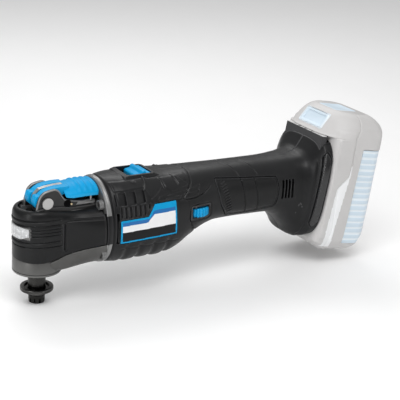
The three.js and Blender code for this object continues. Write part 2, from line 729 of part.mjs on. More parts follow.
// T-shaped channel or rail: a narrow neck at the face and a wide head at the bottom
const NECK_HALF = 22;
const HEAD_HALF = 26;
function railShape(extra, up0, up1, out1) {
  return join(
    faceBlock(-NECK_HALF - extra, NECK_HALF + extra, up0, up1, -CHANNEL_DEPTH + GAP - extra, out1),
    faceBlock(-HEAD_HALF - extra, HEAD_HALF + extra, up0, up1,
      -CHANNEL_DEPTH + GAP - extra, -4 + extra));
}

const CHANNEL_LOW = -40;
const LATCH_HALF = 7.5;
const CONTACTS = [-9, 0, 9];     // Y of the contact blades

// groove in the front wall of the channel for the hook's nose, open at the top like the channel
function latchGroove() {
  return faceBlock(-LATCH_HALF - 0.6, LATCH_HALF + 0.6, 26, 60, -CHANNEL_DEPTH - 1, -CHANNEL_DEPTH + 2);
}

function housingShells() {
  const room = 0.4;
  const switchWall = SWITCH_HALF + room;
  const dialRoom = 0.6;
  return cut(join(bodyShape(0), switchHump()),
    cut(bodyHollow(), switchTray()),
    box(SWITCH_REAR - SWITCH_LENGTH - SWITCH_TRAVEL - room, SWITCH_REAR + room,
      -switchWall, switchWall, SWITCH_FLOOR, 100),
    box(72, 92, -4, 4, 75, 90),
    railShape(GAP, CHANNEL_LOW, 60, 5),
    latchGroove(),
    surfacePockets(gripOutline, GRIP_DEPTH),
    surfacePockets(labelOutline, LABEL_DEPTH),
    surfacePockets(bumperOutline, BUMPER_DEPTH),
    box(DIAL_X - DIAL_WINDOW_HALF, DIAL_X + DIAL_WINDOW_HALF, -40, -20,
      DIAL_BOTTOM - dialRoom, DIAL_TOP + dialRoom),
    bar('z', DIAL_X, DIAL_Y, DIAL_RADIUS + dialRoom, DIAL_BOTTOM - dialRoom, DIAL_TOP + dialRoom, 32),
    faceBlock(-16, 16, -38, -30, -25, -CHANNEL_DEPTH + 1),
    ...ventSlots(),
    ...collarScrewPlaces.map(({ y, z }) => bar('x', y, z, SCREW_HOLE, COLLAR_REAR - 1, COLLAR_REAR + 5, 12)),
    ...screwHoles());
}

const housingScrewPlaces = [
  { name: 'housing_screw_front', x: 60, z: 78 },
  { name: 'housing_screw_middle', x: 141, z: 44 },
  { name: 'housing_screw_rear', x: 206, z: 75 },
];

const SCREW_HOLE = 1.8;
const SCREW_RADIUS = 1.5;
const SCREW_HEAD_RADIUS = 3;
const SCREW_HEAD_SEAT = 17;      // Y of the seat that a housing screw's head lies on
const SCREW_END = -16;

// stepped holes that the housing screws go in by, open on the right side
function screwHoles() {
  return housingScrewPlaces.flatMap(({ x, z }) => [
    bar('y', x, z, SCREW_HEAD_RADIUS + 0.4, SCREW_HEAD_SEAT, 60, 12),
    bar('y', x, z, SCREW_HOLE, SCREW_END, 60, 8),
  ]);
}

// bosses that the housing screws run through, standing inside both shells
function screwBosses() {
  const bosses = housingScrewPlaces.map(({ x, z }) => bar('y', x, z, 4.6, -22, 22, 12));
  return cut(join(...bosses).intersect(bodyShape(1)), ...screwHoles());
}

function housingScrew({ x, z }) {
  const seat = SCREW_HEAD_SEAT + 0.4;
  return join(
    cut(bar('y', x, z, SCREW_HEAD_RADIUS, seat, seat + 2.4, 12), bar('y', x, z, 1.3, seat + 1.2, 22, 6)),
    bar('y', x, z, SCREW_RADIUS, SCREW_END + 2, seat + 0.2, 8));
}

// ---------------------------------------------------------------- switch, dial and electrics

function slideSwitch() {
  const front = SWITCH_REAR - SWITCH_LENGTH;
  const side = [
    [front, 81.8], [front, 85], [front + 1.2, 86], [84.6, 86.2], [85.8, 88.2], [88.2, 88.2],
    [89.4, 86.2], [SWITCH_REAR - 0.8, 86], [SWITCH_REAR, 85], [SWITCH_REAR, 81.8],
  ];
  return join(prism('xz', side, -SWITCH_HALF, SWITCH_HALF), box(80, 90, -3.4, 3.4, 78.6, 82.5));
}

function speedDial() {
  let body = bar('z', DIAL_X, DIAL_Y, DIAL_RADIUS, DIAL_BOTTOM, DIAL_TOP, 24);
  for (let i = 0; i < DIAL_NOTCHES; i += 1) {
    const notch = new THREE.BoxGeometry(1.2, 1, 20);
    notch.translate(DIAL_RADIUS, 0, 55);
    notch.rotateZ((2 * Math.PI * (i + 0.5)) / DIAL_NOTCHES);
    notch.translate(DIAL_X, DIAL_Y, 0);
    body = cut(body, solid(notch));
  }
  return body;
}

function dialPotentiometer() {
  return join(
    box(DIAL_X - 4, DIAL_X + 4, DIAL_Y - 3.5, DIAL_Y + 4.5, 44.5, 48),
    bar('z', DIAL_X, DIAL_Y, 2.2, 47, DIAL_BOTTOM - GAP, 12));
}

function controllerBoard() {
  return join(
    box(150, 198, -15, 15, 56, 57.6),
    bar('z', 158, -7, 5, 57, 70, 18),
    box(166, 186, -10, 10, 57, 64),
    bar('z', 192, 6, 4, 57, 68, 18));
}

function terminalBlock() {
  const base = faceBlock(-14, 14, CHANNEL_LOW + 1.2, -29, -7.4, -1.2);
  const blades = CONTACTS.map((y) => faceBlock(y - 0.5, y + 0.5, -30, -16, -6, -2));
  return join(base, ...blades);
}

// ---------------------------------------------------------------- battery pack

// side outline of the pack, from the foot's rear face backwards
function faceX(z) {
  return FOOT_REAR + FOOT_SLOPE * (z - PIVOT_Z);
}

const packSide = [
  [248.6, 103.6], [255.5, 111.6], [262.4, 119.4], [267, 121.8], [285, 119.2], [296, 116.6],
  [303.6, 112.6], [308.2, 106.8], [309.3, 101], [303.3, 57], [296.6, 13], [293.4, 4], [287, 0.2],
  [266.5, 3], [250, 9.6], [faceX(13) + 0.4, 13], [faceX(86) + 0.4, 86], [247.6, 90],
];
// the front of the pack's head seen from above, bulging forwards in the middle
const packFront = [
  [247, 0], [248.2, 11], [251.2, 19.5], [255.6, 27], [261.4, 33], [269, 38.5], [400, 38.5],
  [400, -38.5], [269, -38.5], [261.4, -33], [255.6, -27], [251.2, -19.5], [248.2, -11],
];
const PACK_HEAD_LOW = 88;

const PACK_AXIS_BOTTOM = -62;
const PACK_AXIS_TOP = 64;
const PACK_DEPTH = 55.5;         // from the foot's rear face to the pack's rear
const PACK_CORNER = 17;          // corner radius seen from behind
const PACK_REAR_EDGE = 9;        // radius of the pack's upright rear edges

// side outline rounded across: corners are rounded seen along the face and seen from behind
function packShape(inset) {
  const side = grown(packSide, -inset);
  const half = PACK_HALF_WIDTH - inset;
  const profile = prism('xz', side, -half, half);
  const fromBehind = new THREE.Shape();
  roundedOutline(fromBehind, half, PACK_AXIS_BOTTOM + inset, PACK_AXIS_TOP - inset, PACK_CORNER);
  const behind = new THREE.ExtrudeGeometry(fromBehind, { depth: 160, bevelEnabled: false, curveSegments: 5 });
  const look = new THREE.Matrix4().makeBasis(new THREE.Vector3(0, 1, 0), faceUp, faceOut);
  look.setPosition(FOOT_REAR - 40, 0, PIVOT_Z + 40 * FOOT_SLOPE);
  behind.applyMatrix4(look);
  const fromAbove = new THREE.Shape();
  roundedOutline(fromAbove, half, -40, PACK_DEPTH - inset, PACK_REAR_EDGE);
  const above = new THREE.ExtrudeGeometry(fromAbove, { depth: 240, bevelEnabled: false, curveSegments: 4 });
  const down = new THREE.Matrix4().makeBasis(
    new THREE.Vector3(0, 1, 0), faceOut, faceUp.clone().negate());
  down.setPosition(FOOT_REAR + 120 * FOOT_SLOPE, 0, PIVOT_Z + 120);
  above.applyMatrix4(down);
  const corner = cut(box(200, 300, -60, 60, PACK_HEAD_LOW, 200),
    prism('xy', grown(packFront, -inset), 0, 250));
  return cut(profile.intersect(solid(behind)).intersect(solid(above)), corner);
}

// rounded rectangle: half wide each way, from low to high
function roundedOutline(shape, half, low, high, radius) {
  shape.moveTo(-half + radius, low);
  shape.lineTo(half - radius, low);
  shape.absarc(half - radius, low + radius, radius, -Math.PI / 2, 0);
  shape.lineTo(half, high - radius);
  shape.absarc(half - radius, high - radius, radius, 0, Math.PI / 2);
  shape.lineTo(-half + radius, high);
  shape.absarc(-half + radius, high - radius, radius, Math.PI / 2, Math.PI);
  shape.lineTo(-half, low + radius);
  shape.absarc(-half + radius, low + radius, radius, Math.PI, Math.PI * 1.5);
}

// line on the side where the two pack shells meet
const seamLine = [
  [300, 150], [291, 117], [279, 103], [276, 84], [273, 72], [262, 61], [258.5, 22], [256, -30],
];

function frontOfSeam(shift) {
  const line = seamLine.map(([x, z]) => [x + shift, z]);
  return prism('xz', [[180, 150], [180, -30], ...line.slice().reverse()], -60, 60);
}

const BUTTON_MIDDLE = { x: 257.2, z: 113.5 };
const slopeUp = new THREE.Vector3(13.8, 0, 15.8).normalize();
const slopeIn = new THREE.Vector3(slopeUp.z, 0, -slopeUp.x);

// block in the frame of the pack's sloping front top: across, up the slope, and into the pack
function slopeBlock(half, up0, up1, in0, in1) {
  const geometry = new THREE.BoxGeometry(in1 - in0, 2 * half, up1 - up0);
  geometry.translate((in0 + in1) / 2, 0, (up0 + up1) / 2);
  const place = new THREE.Matrix4().makeBasis(slopeIn, new THREE.Vector3(0, 1, 0), slopeUp);
  place.setPosition(BUTTON_MIDDLE.x, 0, BUTTON_MIDDLE.z);
  geometry.applyMatrix4(place);
  return solid(geometry);
}

const BUTTON_HALF = 15.5;
const BUTTON_UP = 7;
const BUTTON_TRAVEL = 3;
const PANEL_DEPTH = 0.9;

const panelOutline = [[284.8, 91], [306, 91], [291.5, 6], [268.8, 6]];

function packPanels(outline, from, depth) {
  const skin = cut(packShape(from), packShape(depth));
  return cut(skin.intersect(prism('xz', outline, -60, 60)), box(-REACH, REACH, -30, 30, -REACH, REACH));
}

function batteryShells() {
  const rail = cut(railShape(0, CHANNEL_LOW + 14, 44.6, 2),
    ...CONTACTS.map((y) => faceBlock(y - 1.2, y + 1.2, CHANNEL_LOW + 10, -10, -12, -1)));
  const hollow = packShape(PACK_WALL).subtract(faceBlock(-60, 60, -80, 43.6, -40, PACK_WALL + 0.4));
  return cut(join(cut(packShape(0), bodyShape(-0.4)), rail),
    hollow,
    slopeBlock(BUTTON_HALF + GAP, -BUTTON_UP - GAP, BUTTON_UP + GAP, -10, 12),
    faceBlock(-9, 9, 28, 56, -14, 5),
    packPanels(grown(panelOutline, GAP), -OUTSIDE, PANEL_DEPTH + GAP));
}

function releaseButton() {
  return join(
    slopeBlock(BUTTON_HALF, -BUTTON_UP, BUTTON_UP, -0.2, 3),
    slopeBlock(BUTTON_HALF - 3, BUTTON_UP - 3.2, BUTTON_UP - 1.2, -1, 1));
}

// hook that drops from the button behind the foot's front wall and catches in its pocket
function latchHook() {
  const plate = prism('xz', [
    [253.6, 108], [255.5, 110.5], [258.5, 110.5], [258.5, 105], [252.6, 95], [250.6, 90.5],
    [248.9, 90.5], [246.2, 93.3], [246.5, 95.3], [249.2, 97.5],
  ], -LATCH_HALF, LATCH_HALF);
  return cut(plate, slopeBlock(40, -40, 40, -20, 3 + GAP));
}

const CELL_RADIUS = 9.1;
const CELL_HALF_LENGTH = 32.5;
const CELL_COUNT = 5;
const CELL_PITCH = 18.8;
const FIRST_CELL_UP = -38.5;
const FRONT_ROW_OUT = 18.5;
const REAR_ROW_OUT = 38;

// five cells across the pack, welded together at both ends by strips
function cellRow(out) {
  const bodies = [];
  for (let i = 0; i < CELL_COUNT; i += 1) {
    const up = FIRST_CELL_UP + i * CELL_PITCH;
    const centre = new THREE.Vector3(FOOT_REAR, 0, PIVOT_Z)
      .addScaledVector(faceUp, up).addScaledVector(faceOut, out);
    bodies.push(bar('y', centre.x, centre.z, CELL_RADIUS, -CELL_HALF_LENGTH, CELL_HALF_LENGTH, 14));
  }
  for (const side of [-1, 1]) {
    const [near, far] = [CELL_HALF_LENGTH * side, (CELL_HALF_LENGTH + 0.6) * side].sort((a, b) => a - b);
    bodies.push(faceBlock(near - 0.1, far + 0.1, -42, 40, out - 4, out + 4));
  }
  return join(...bodies);
}

function batteryBoard() {
  return join(
    faceBlock(-24, 24, -40, 40, 4.2, 5.8),
    faceBlock(-6, 6, -6, 8, 3.4, 4.4));
}

// ---------------------------------------------------------------- the assembly

add('gear_housing', gearHousing(), 'cast_metal');
add('head_sleeve', headSleeve(), 'black_rubber');
add('led_lens', ledLens(), 'clear_lens');
add('led_board', ledBoard(), 'circuit_board');
collarScrewPlaces.forEach((place) => add(place.name, collarScrew(place), 'steel'));
add('lower_spindle_bearing', ring('z', 0, 0, SHAFT_RADIUS + GAP, 15.7, 19.1, 28, 20), 'steel');
add('upper_spindle_bearing', ring('z', 0, 0, 6, 11, 55, 62, 20), 'steel');
add('lever_pin', leverPin(), 'steel');

add('spindle', spindle(), 'steel');
add('tool_flange', toolFlange(), 'steel');
add('oscillating_fork', oscillatingFork(), 'steel');
add('clamp_rod', clampRod(), 'steel');
add('clamp_jaws', clampJaws(), 'steel');
add('clamp_spring', clampSpring(), 'steel');
add('clamp_lever', clampLever(), 'blue_plastic');
add('lever_insert', leverInsert(), 'cast_metal');

add('motor_shaft', motorShaft(), 'steel');
add('counterweight', counterweight(), 'steel');
add('eccentric_bearing', ring('x', ECCENTRICITY, MOTOR_Z, ECCENTRIC_RADIUS + GAP, 6.5,
  ECCENTRIC_FRONT + 1, ECCENTRIC_REAR - 1), 'steel');
add('motor_rotor', rotor(), 'steel');
add('cooling_fan', coolingFan(), 'charcoal_plastic');
add('motor_stator', stator(), 'copper');
add('gearbox_bearing', ring('x', 0, MOTOR_Z, SHAFT_BORE, MOTOR_BEARING_RADIUS,
  GEARBOX_BEARING_FRONT, GEARBOX_BEARING_FRONT + 5), 'steel');
add('gearbox_bearing_carrier', ring('x', 0, MOTOR_Z, BEARING_SEAT, TUNNEL_RADIUS - GAP,
  GEARBOX_BEARING_FRONT - 1, COLLAR_REAR - 0.6, 20), 'cast_metal');
add('front_motor_bearing', motorBearing(FRONT_MOUNT), 'steel');
add('front_motor_mount', motorMount(FRONT_MOUNT), 'charcoal_plastic');
add('rear_motor_bearing', motorBearing(REAR_MOUNT), 'steel');
add('rear_motor_mount', motorMount(REAR_MOUNT), 'charcoal_plastic');

const shells = join(housingShells(), screwBosses());
add('housing_left', cut(shells, box(-REACH, REACH, -GAP / 2, REACH, -REACH, REACH)), 'charcoal_plastic');
add('housing_right', cut(shells, box(-REACH, REACH, -REACH, GAP / 2, -REACH, REACH)), 'charcoal_plastic');

function addPair(name, pads, finish) {
  add(`${name}_left`, cut(pads, box(-REACH, REACH, 0, REACH, -REACH, REACH)), finish);
  add(`${name}_right`, cut(pads, box(-REACH, REACH, -REACH, 0, -REACH, REACH)), finish);
}

addPair('label', surfacePads(labelOutline, 0, LABEL_DEPTH), 'label_print');
addPair('grip_insert', surfacePads(gripOutline, 0, GRIP_DEPTH), 'black_rubber');
addPair('foot_bumper', surfacePads(bumperOutline, 0, BUMPER_DEPTH), 'black_rubber');
housingScrewPlaces.forEach((place) => add(place.name, housingScrew(place), 'steel'));

add('slide_switch', slideSwitch(), 'blue_plastic');
add('switch_link', box(80, 119, -3, 3, 75.6, 78.3), 'charcoal_plastic');
add('switch_module', box(121, 143, -8, 8, 66, 80), 'charcoal_plastic');
add('speed_dial', speedDial(), 'blue_plastic');
add('dial_potentiometer', dialPotentiometer(), 'charcoal_plastic');
add('controller_board', controllerBoard(), 'circuit_board');
add('terminal_block', terminalBlock(), 'brass');

const packShells = batteryShells();
add('battery_front_shell', packShells.intersect(frontOfSeam(-GAP / 2)), 'pale_grey_plastic');
add('battery_rear_shell', packShells.subtract(frontOfSeam(GAP / 2)), 'pale_grey_plastic');
addPair('battery_panel', packPanels(panelOutline, 0, PANEL_DEPTH), 'pale_blue_plastic');
add('front_cell_row', cellRow(FRONT_ROW_OUT), 'cell_wrap');
add('rear_cell_row', cellRow(REAR_ROW_OUT), 'cell_wrap');
add('battery_board', batteryBoard(), 'circuit_board');
add('release_button', releaseButton(), 'pale_blue_plastic');
add('latch_hook', latchHook(), 'charcoal_plastic');

export default tool;
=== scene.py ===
"""Looks of the cordless oscillating multi-tool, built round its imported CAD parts."""

import json
import math

import bmesh
import bpy
import numpy as np
from mathutils import Matrix, Vector


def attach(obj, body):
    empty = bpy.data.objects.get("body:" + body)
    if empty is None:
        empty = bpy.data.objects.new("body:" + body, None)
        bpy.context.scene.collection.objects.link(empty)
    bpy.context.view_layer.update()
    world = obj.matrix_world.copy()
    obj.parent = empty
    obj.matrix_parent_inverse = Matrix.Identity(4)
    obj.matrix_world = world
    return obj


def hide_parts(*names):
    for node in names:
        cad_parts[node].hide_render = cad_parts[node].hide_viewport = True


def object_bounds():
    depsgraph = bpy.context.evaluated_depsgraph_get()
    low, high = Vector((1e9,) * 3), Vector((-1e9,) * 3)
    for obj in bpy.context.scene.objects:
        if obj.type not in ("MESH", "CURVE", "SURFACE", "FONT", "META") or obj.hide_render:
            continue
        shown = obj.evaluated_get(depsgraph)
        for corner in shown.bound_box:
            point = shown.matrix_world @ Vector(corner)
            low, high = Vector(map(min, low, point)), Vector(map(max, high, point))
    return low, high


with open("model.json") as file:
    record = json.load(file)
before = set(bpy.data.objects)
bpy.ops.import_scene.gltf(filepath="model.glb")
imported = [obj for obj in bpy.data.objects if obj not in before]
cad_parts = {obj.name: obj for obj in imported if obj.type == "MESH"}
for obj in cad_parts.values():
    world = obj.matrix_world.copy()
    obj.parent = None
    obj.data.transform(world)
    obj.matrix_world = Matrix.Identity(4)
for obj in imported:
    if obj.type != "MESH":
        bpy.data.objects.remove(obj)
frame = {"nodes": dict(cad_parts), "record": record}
cad_low, cad_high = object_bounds()

MM = 0.001
PIVOT_Z = 60.0                      # height where a sloping section has its stated X
FOOT_SLOPE = 0.167
FOOT_REAR = 249.6                    # station of the foot's rear face
SHELL_WALL = 1.6
SLEEVE_WALL = 1.2
BODY_AXIS_Z = 56                     # height of the barrel's middle
LIFT = 8.7                          # shapes are written from the flange face, this far above the origin

# ------------------------------------------------------------------ numbers helpers


def smooth_curve(xs, ys, at):
    """Curve through points that never overshoots them."""
    xs = np.asarray(xs, float)
    ys = np.asarray(ys, float)
    steps = np.diff(xs)
    slopes = np.diff(ys) / steps
    tangents = np.zeros(len(xs))
    tangents[0] = slopes[0]
    tangents[-1] = slopes[-1]
    both = slopes[:-1] * slopes[1:] > 0
    mean = 2 * slopes[:-1] * slopes[1:] / np.where(both, slopes[:-1] + slopes[1:], 1)
    tangents[1:-1] = np.where(both, mean, 0)
    at = np.clip(np.asarray(at, float), xs[0], xs[-1])
    i = np.clip(np.searchsorted(xs, at) - 1, 0, len(xs) - 2)
    t = (at - xs[i]) / steps[i]
    t2 = t * t
    t3 = t2 * t
    return (
        ys[i] * (2 * t3 - 3 * t2 + 1)
        + ys[i + 1] * (3 * t2 - 2 * t3)
        + steps[i] * tangents[i] * (t3 - 2 * t2 + t)
        + steps[i] * tangents[i + 1] * (t3 - t2)
    )


def ease(value):
    """0 to 1 with soft ends."""
    value = np.clip(value, 0, 1)
    return value * value * (3 - 2 * value)


def inside_ramp(distance, width):
    """1 well inside an outline, 0 outside, changing over a width centred on it."""
    return ease(0.5 - distance / width)


def line_distance(a, b, points, closed=False):
    """Distance from (a, b) to a line through the points."""
    pts = np.asarray(points, float)
    ends = np.roll(pts, -1, axis=0) if closed else pts[1:]
    starts = pts if closed else pts[:-1]
    best = np.full(np.shape(a), 1e9)
    for (x0, y0), (x1, y1) in zip(starts, ends):
        dx = x1 - x0
        dy = y1 - y0
        t = np.clip(((a - x0) * dx + (b - y0) * dy) / (dx * dx + dy * dy), 0, 1)
        best = np.minimum(best, np.hypot(a - x0 - t * dx, b - y0 - t * dy))
    return best


def outline_distance(a, b, points):
    """Signed distance to a closed outline, negative inside."""
    pts = np.asarray(points, float)
    ends = np.roll(pts, -1, axis=0)
    inside = np.zeros(np.shape(a), bool)
    for (x0, y0), (x1, y1) in zip(pts, ends):
        if y0 == y1:
            continue
        crosses = (y0 > b) != (y1 > b)
        at = x0 + (b - y0) * (x1 - x0) / (y1 - y0)
        inside ^= crosses & (a < at)
    gap = line_distance(a, b, points, closed=True)
    return np.where(inside, -gap, gap)


def rounded(points, radius):
    """Outline with its corners rounded."""
    steps = 5
    pts = [np.asarray(p, float) for p in points]
    out = []
    for i, corner in enumerate(pts):
        before = pts[i - 1] - corner
        after = pts[(i + 1) % len(pts)] - corner
        room = min(np.linalg.norm(before), np.linalg.norm(after)) * 0.48
        reach = min(radius, room)
        start = corner + before / np.linalg.norm(before) * reach
        end = corner + after / np.linalg.norm(after) * reach
        for k in range(steps + 1):
            t = k / steps
            out.append((1 - t) ** 2 * start + 2 * t * (1 - t) * corner + t * t * end)
    return np.array(out)


# ------------------------------------------------------------------ mesh helpers


def mesh_object(name, vertices, faces, materials, face_materials=None, smooth=True):
    """Mesh object from millimetre vertices."""
    mesh = bpy.data.meshes.new(name)
    mesh.from_pydata([tuple(v * MM) for v in np.asarray(vertices, float)], [], faces)
    for material in materials:
        mesh.materials.append(material)
    if face_materials is not None:
        mesh.polygons.foreach_set("material_index", np.asarray(face_materials, np.int32))
    mesh.polygons.foreach_set("use_smooth", [smooth] * len(mesh.polygons))
    mesh.update()
    piece = bpy.data.objects.new(name, mesh)
    bpy.context.scene.collection.objects.link(piece)
    return piece


def tidy(piece, angle, closed=True):
    """Merges doubled points, makes a closed piece's faces look outwards and keeps sharp edges sharp."""
    work = bmesh.new()
    work.from_mesh(piece.data)
    loose = [vertex for vertex in work.verts if not vertex.link_faces]
    bmesh.ops.delete(work, geom=loose, context="VERTS")
    bmesh.ops.remove_doubles(work, verts=work.verts, dist=0.000002)
    if closed:
        bmesh.ops.recalc_face_normals(work, faces=work.faces)
    work.to_mesh(piece.data)
    work.free()
    piece.data.set_sharp_from_angle(angle=math.radians(angle))
    return piece


def grid_faces(rows, columns, wraps, keep):
    """Quads between the rows of a grid; keep picks them by a (rows, columns) mask."""
    faces = []
    places = []
    spans = columns if wraps else columns - 1
    for r in range(rows - 1):
        for c in range(spans):
            if keep is not None and not keep[r, c]:
                continue
            d = (c + 1) % columns
            faces.append((r * columns + c, r * columns + d, (r + 1) * columns + d, (r + 1) * columns + c))
            places.append((r, c))
    return faces, np.array(places)


def skin(name, points, materials, wraps=True, keep=None, pick=None, caps=(False, False), angle=40):
    """Skin over a grid of points. pick gives each quad's material, from a (rows, columns) array."""
    rows, columns = points.shape[:2]
    faces, places = grid_faces(rows, columns, wraps, keep)
    chosen = None if pick is None else [int(pick[r, c]) for r, c in places]
    for closed, row in ((caps[0], 0), (caps[1], rows - 1)):
        if closed:
            faces.append(tuple(row * columns + c for c in range(columns)))
            if chosen is not None:
                chosen.append(0)
    piece = mesh_object(name, points.reshape(-1, 3), faces, materials, chosen)
    return tidy(piece, angle, keep is None)


def grid_normals(points):
    """Normals of a grid of points that closes round, facing away from its middle line."""
    along = np.gradient(points, axis=0)
    around = np.roll(points, -1, axis=1) - np.roll(points, 1, axis=1)
    normals = np.cross(along, around)
    size = np.linalg.norm(normals, axis=2, keepdims=True)
    normals /= np.where(size > 0, size, 1)
    middle = points.mean(axis=1, keepdims=True)
    outwards = np.sum(normals * (points - middle), axis=2, keepdims=True)
    return np.where(outwards < 0, -normals, normals)


def face_centres(values, wraps=True):
    """Values at the quads of a grid from the values at its corners."""
    right = np.roll(values, -1, axis=1) if wraps else values[:, 1:]
    left = values if wraps else values[:, :-1]
    return (left[:-1] + left[1:] + right[:-1] + right[1:]) / 4


def bevel(piece, width, segments):
    """Rounds the edges of a piece."""
    rounding = piece.modifiers.new("rounding", "BEVEL")
    rounding.width = width * MM
    rounding.segments = segments
    rounding.limit_method = "ANGLE"
    rounding.angle_limit = math.radians(30)
    rounding.harden_normals = False
    return piece


PLANES = {"xz": (0, 2, 1), "xy": (0, 1, 2)}


def pushed(name, plane, outline, low, high, material, edge, segments=3):
    """Outline pushed along the third axis, with rounded edges."""
    first, second, third = PLANES[plane]
    count = len(outline)
    vertices = np.zeros((2 * count, 3))
    for i, (a, b) in enumerate(outline):
        for level, value in enumerate((low, high)):
            vertices[level * count + i, first] = a
            vertices[level * count + i, second] = b
            vertices[level * count + i, third] = value
    faces = [tuple(range(count)), tuple(range(2 * count - 1, count - 1, -1))]
    for i in range(count):
        j = (i + 1) % count
        faces.append((i, j, count + j, count + i))
    piece = tidy(mesh_object(name, vertices, faces, [material]), 35)
    return bevel(piece, edge, segments)


def turned(name, profile, material, sides):
    """Profile of (radius, height) points turned round the Z axis."""
    profile = np.asarray(profile, float)
    angles = np.linspace(0, 2 * math.pi, sides, endpoint=False)
    points = np.zeros((len(profile), sides, 3))
    points[..., 0] = profile[:, :1] * np.cos(angles)
    points[..., 1] = profile[:, :1] * np.sin(angles)
    points[..., 2] = profile[:, 1:]
    return skin(name, points, [material], angle=30)


def moved(piece, at, turn):
    """Turns a piece about the origin and moves it to a place."""
    piece.data.transform(turn)
    piece.data.transform(Matrix.Translation(Vector(at) * MM))
    return piece


def joined(name, pieces):
    """Several pieces made one."""
    graph = bpy.context.evaluated_depsgraph_get()
    graph.update()
    work = bmesh.new()
    materials = []
    for piece in pieces:
        made = bpy.data.meshes.new_from_object(piece.evaluated_get(graph))
        places = []
        for material in made.materials:
            if material not in materials:
                materials.append(material)
            places.append(materials.index(material))
        for face in made.polygons:
            face.material_index = places[face.material_index]
        made.transform(piece.matrix_world)
        work.from_mesh(made)
        bpy.data.meshes.remove(made)
        bpy.data.objects.remove(piece)
    mesh = bpy.data.meshes.new(name)
    work.to_mesh(mesh)
    work.free()
    for material in materials:
        mesh.materials.append(material)
    whole = bpy.data.objects.new(name, mesh)
    bpy.context.scene.collection.objects.link(whole)
    mesh.set_sharp_from_angle(angle=math.radians(38))
    return whole


def place(piece, body, slot_name, *nodes):
    """Lifts a piece to the frame's origin and puts it on its body, in place of CAD nodes."""
    piece.data.transform(Matrix.Translation((0, 0, LIFT * MM)))
    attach(piece, body)
    if nodes:
        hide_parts(*nodes)
    return piece


# ------------------------------------------------------------------ materials


class Nodes:
    """Short ways to build a shader."""

    def __init__(self, name):
        self.material = bpy.data.materials.new(name)
        self.material.use_nodes = True
        self.tree = self.material.node_tree
        self.shader = self.tree.nodes["Principled BSDF"]

    def add(self, kind, **values):
        node = self.tree.nodes.new(kind)
        for key, value in values.items():
            setattr(node, key, value)
        return node

    def link(self, source, target):
        self.tree.links.new(source, target)

    def place(self):
        return self.add("ShaderNodeTexCoord").outputs["Object"]

    def noise(self, scale, detail=4.0, rough=0.5):
        node = self.add("ShaderNodeTexNoise")
        node.inputs["Scale"].default_value = scale
        node.inputs["Detail"].default_value = detail
        node.inputs["Roughness"].default_value = rough
        self.link(self.place(), node.inputs["Vector"])
        return node.outputs["Fac"]

    def span(self, value, low, high, to_low, to_high):
        node = self.add("ShaderNodeMapRange", clamp=True)
        node.inputs["From Min"].default_value = low
        node.inputs["From Max"].default_value = high
        node.inputs["To Min"].default_value = to_low
        node.inputs["To Max"].default_value = to_high
        self.link(value, node.inputs["Value"])
        return node.outputs["Result"]

    def mixed(self, factor, first, second):
        node = self.add("ShaderNodeMix", data_type="RGBA")
        for socket, value in ((node.inputs[6], first), (node.inputs[7], second)):
            if isinstance(value, tuple):
                socket.default_value = (*value, 1)
            else:
                self.link(value, socket)
        self.link(factor, node.inputs[0])
        return node.outputs[2]

    def bump(self, heights, strength, distance):
        node = self.add("ShaderNodeBump")
        node.inputs["Strength"].default_value = strength
        node.inputs["Distance"].default_value = distance
        self.link(heights, node.inputs["Height"])
        self.link(node.outputs["Normal"], self.shader.inputs["Normal"])


def worn_with_painted_light(name, colour, light, rough, metal=0.0, grain=2600.0, bump=0.12, coat=0.0, edge_wear_and_highlight=0.35, mottle=0.16,
         crease_shade_depth=0.55, grain_depth=0.00003, specular=0.5):
    """Procedural finish: colour mottle, fine grain, lighter edges that are part wear and part painted
    highlight, and painted shade darkening the creases.
    """
    n = Nodes(name)
    dark = tuple(c * (1 - mottle) for c in colour)
    bright = tuple(min(1, c * (1 + mottle)) for c in colour)
    broad = n.noise(38, 5, 0.55)
    base = n.mixed(n.span(broad, 0.35, 0.65, 0, 1), dark, bright)
    edge = n.add("ShaderNodeNewGeometry").outputs["Pointiness"]
    # lighter edges: part edge wear, part painted highlight that brightens rib and lug edges towards the
    # light colour
    edge_wear_and_highlight_mask = n.span(edge, 0.52, 0.6, 0, edge_wear_and_highlight)
    base = n.mixed(edge_wear_and_highlight_mask, base, light)
    # painted shade: faces in concave creases are darkened towards a third of the base colour, as if shade
    # fell there
    crease_shade_mask = n.span(edge, 0.4, 0.49, crease_shade_depth, 0)
    base = n.mixed(crease_shade_mask, base, tuple(c * 0.35 for c in colour))
    n.link(base, n.shader.inputs["Base Color"])
    fine = n.noise(grain, 3, 0.6)
    n.link(n.span(n.noise(210, 4, 0.6), 0.3, 0.7, rough - 0.05, rough + 0.07), n.shader.inputs["Roughness"])
    n.shader.inputs["Metallic"].default_value = metal
    n.shader.inputs["Coat Weight"].default_value = coat
    n.shader.inputs["Coat Roughness"].default_value = 0.25
    n.shader.inputs["Specular IOR Level"].default_value = specular
    n.bump(fine, bump, grain_depth)
    return n.material


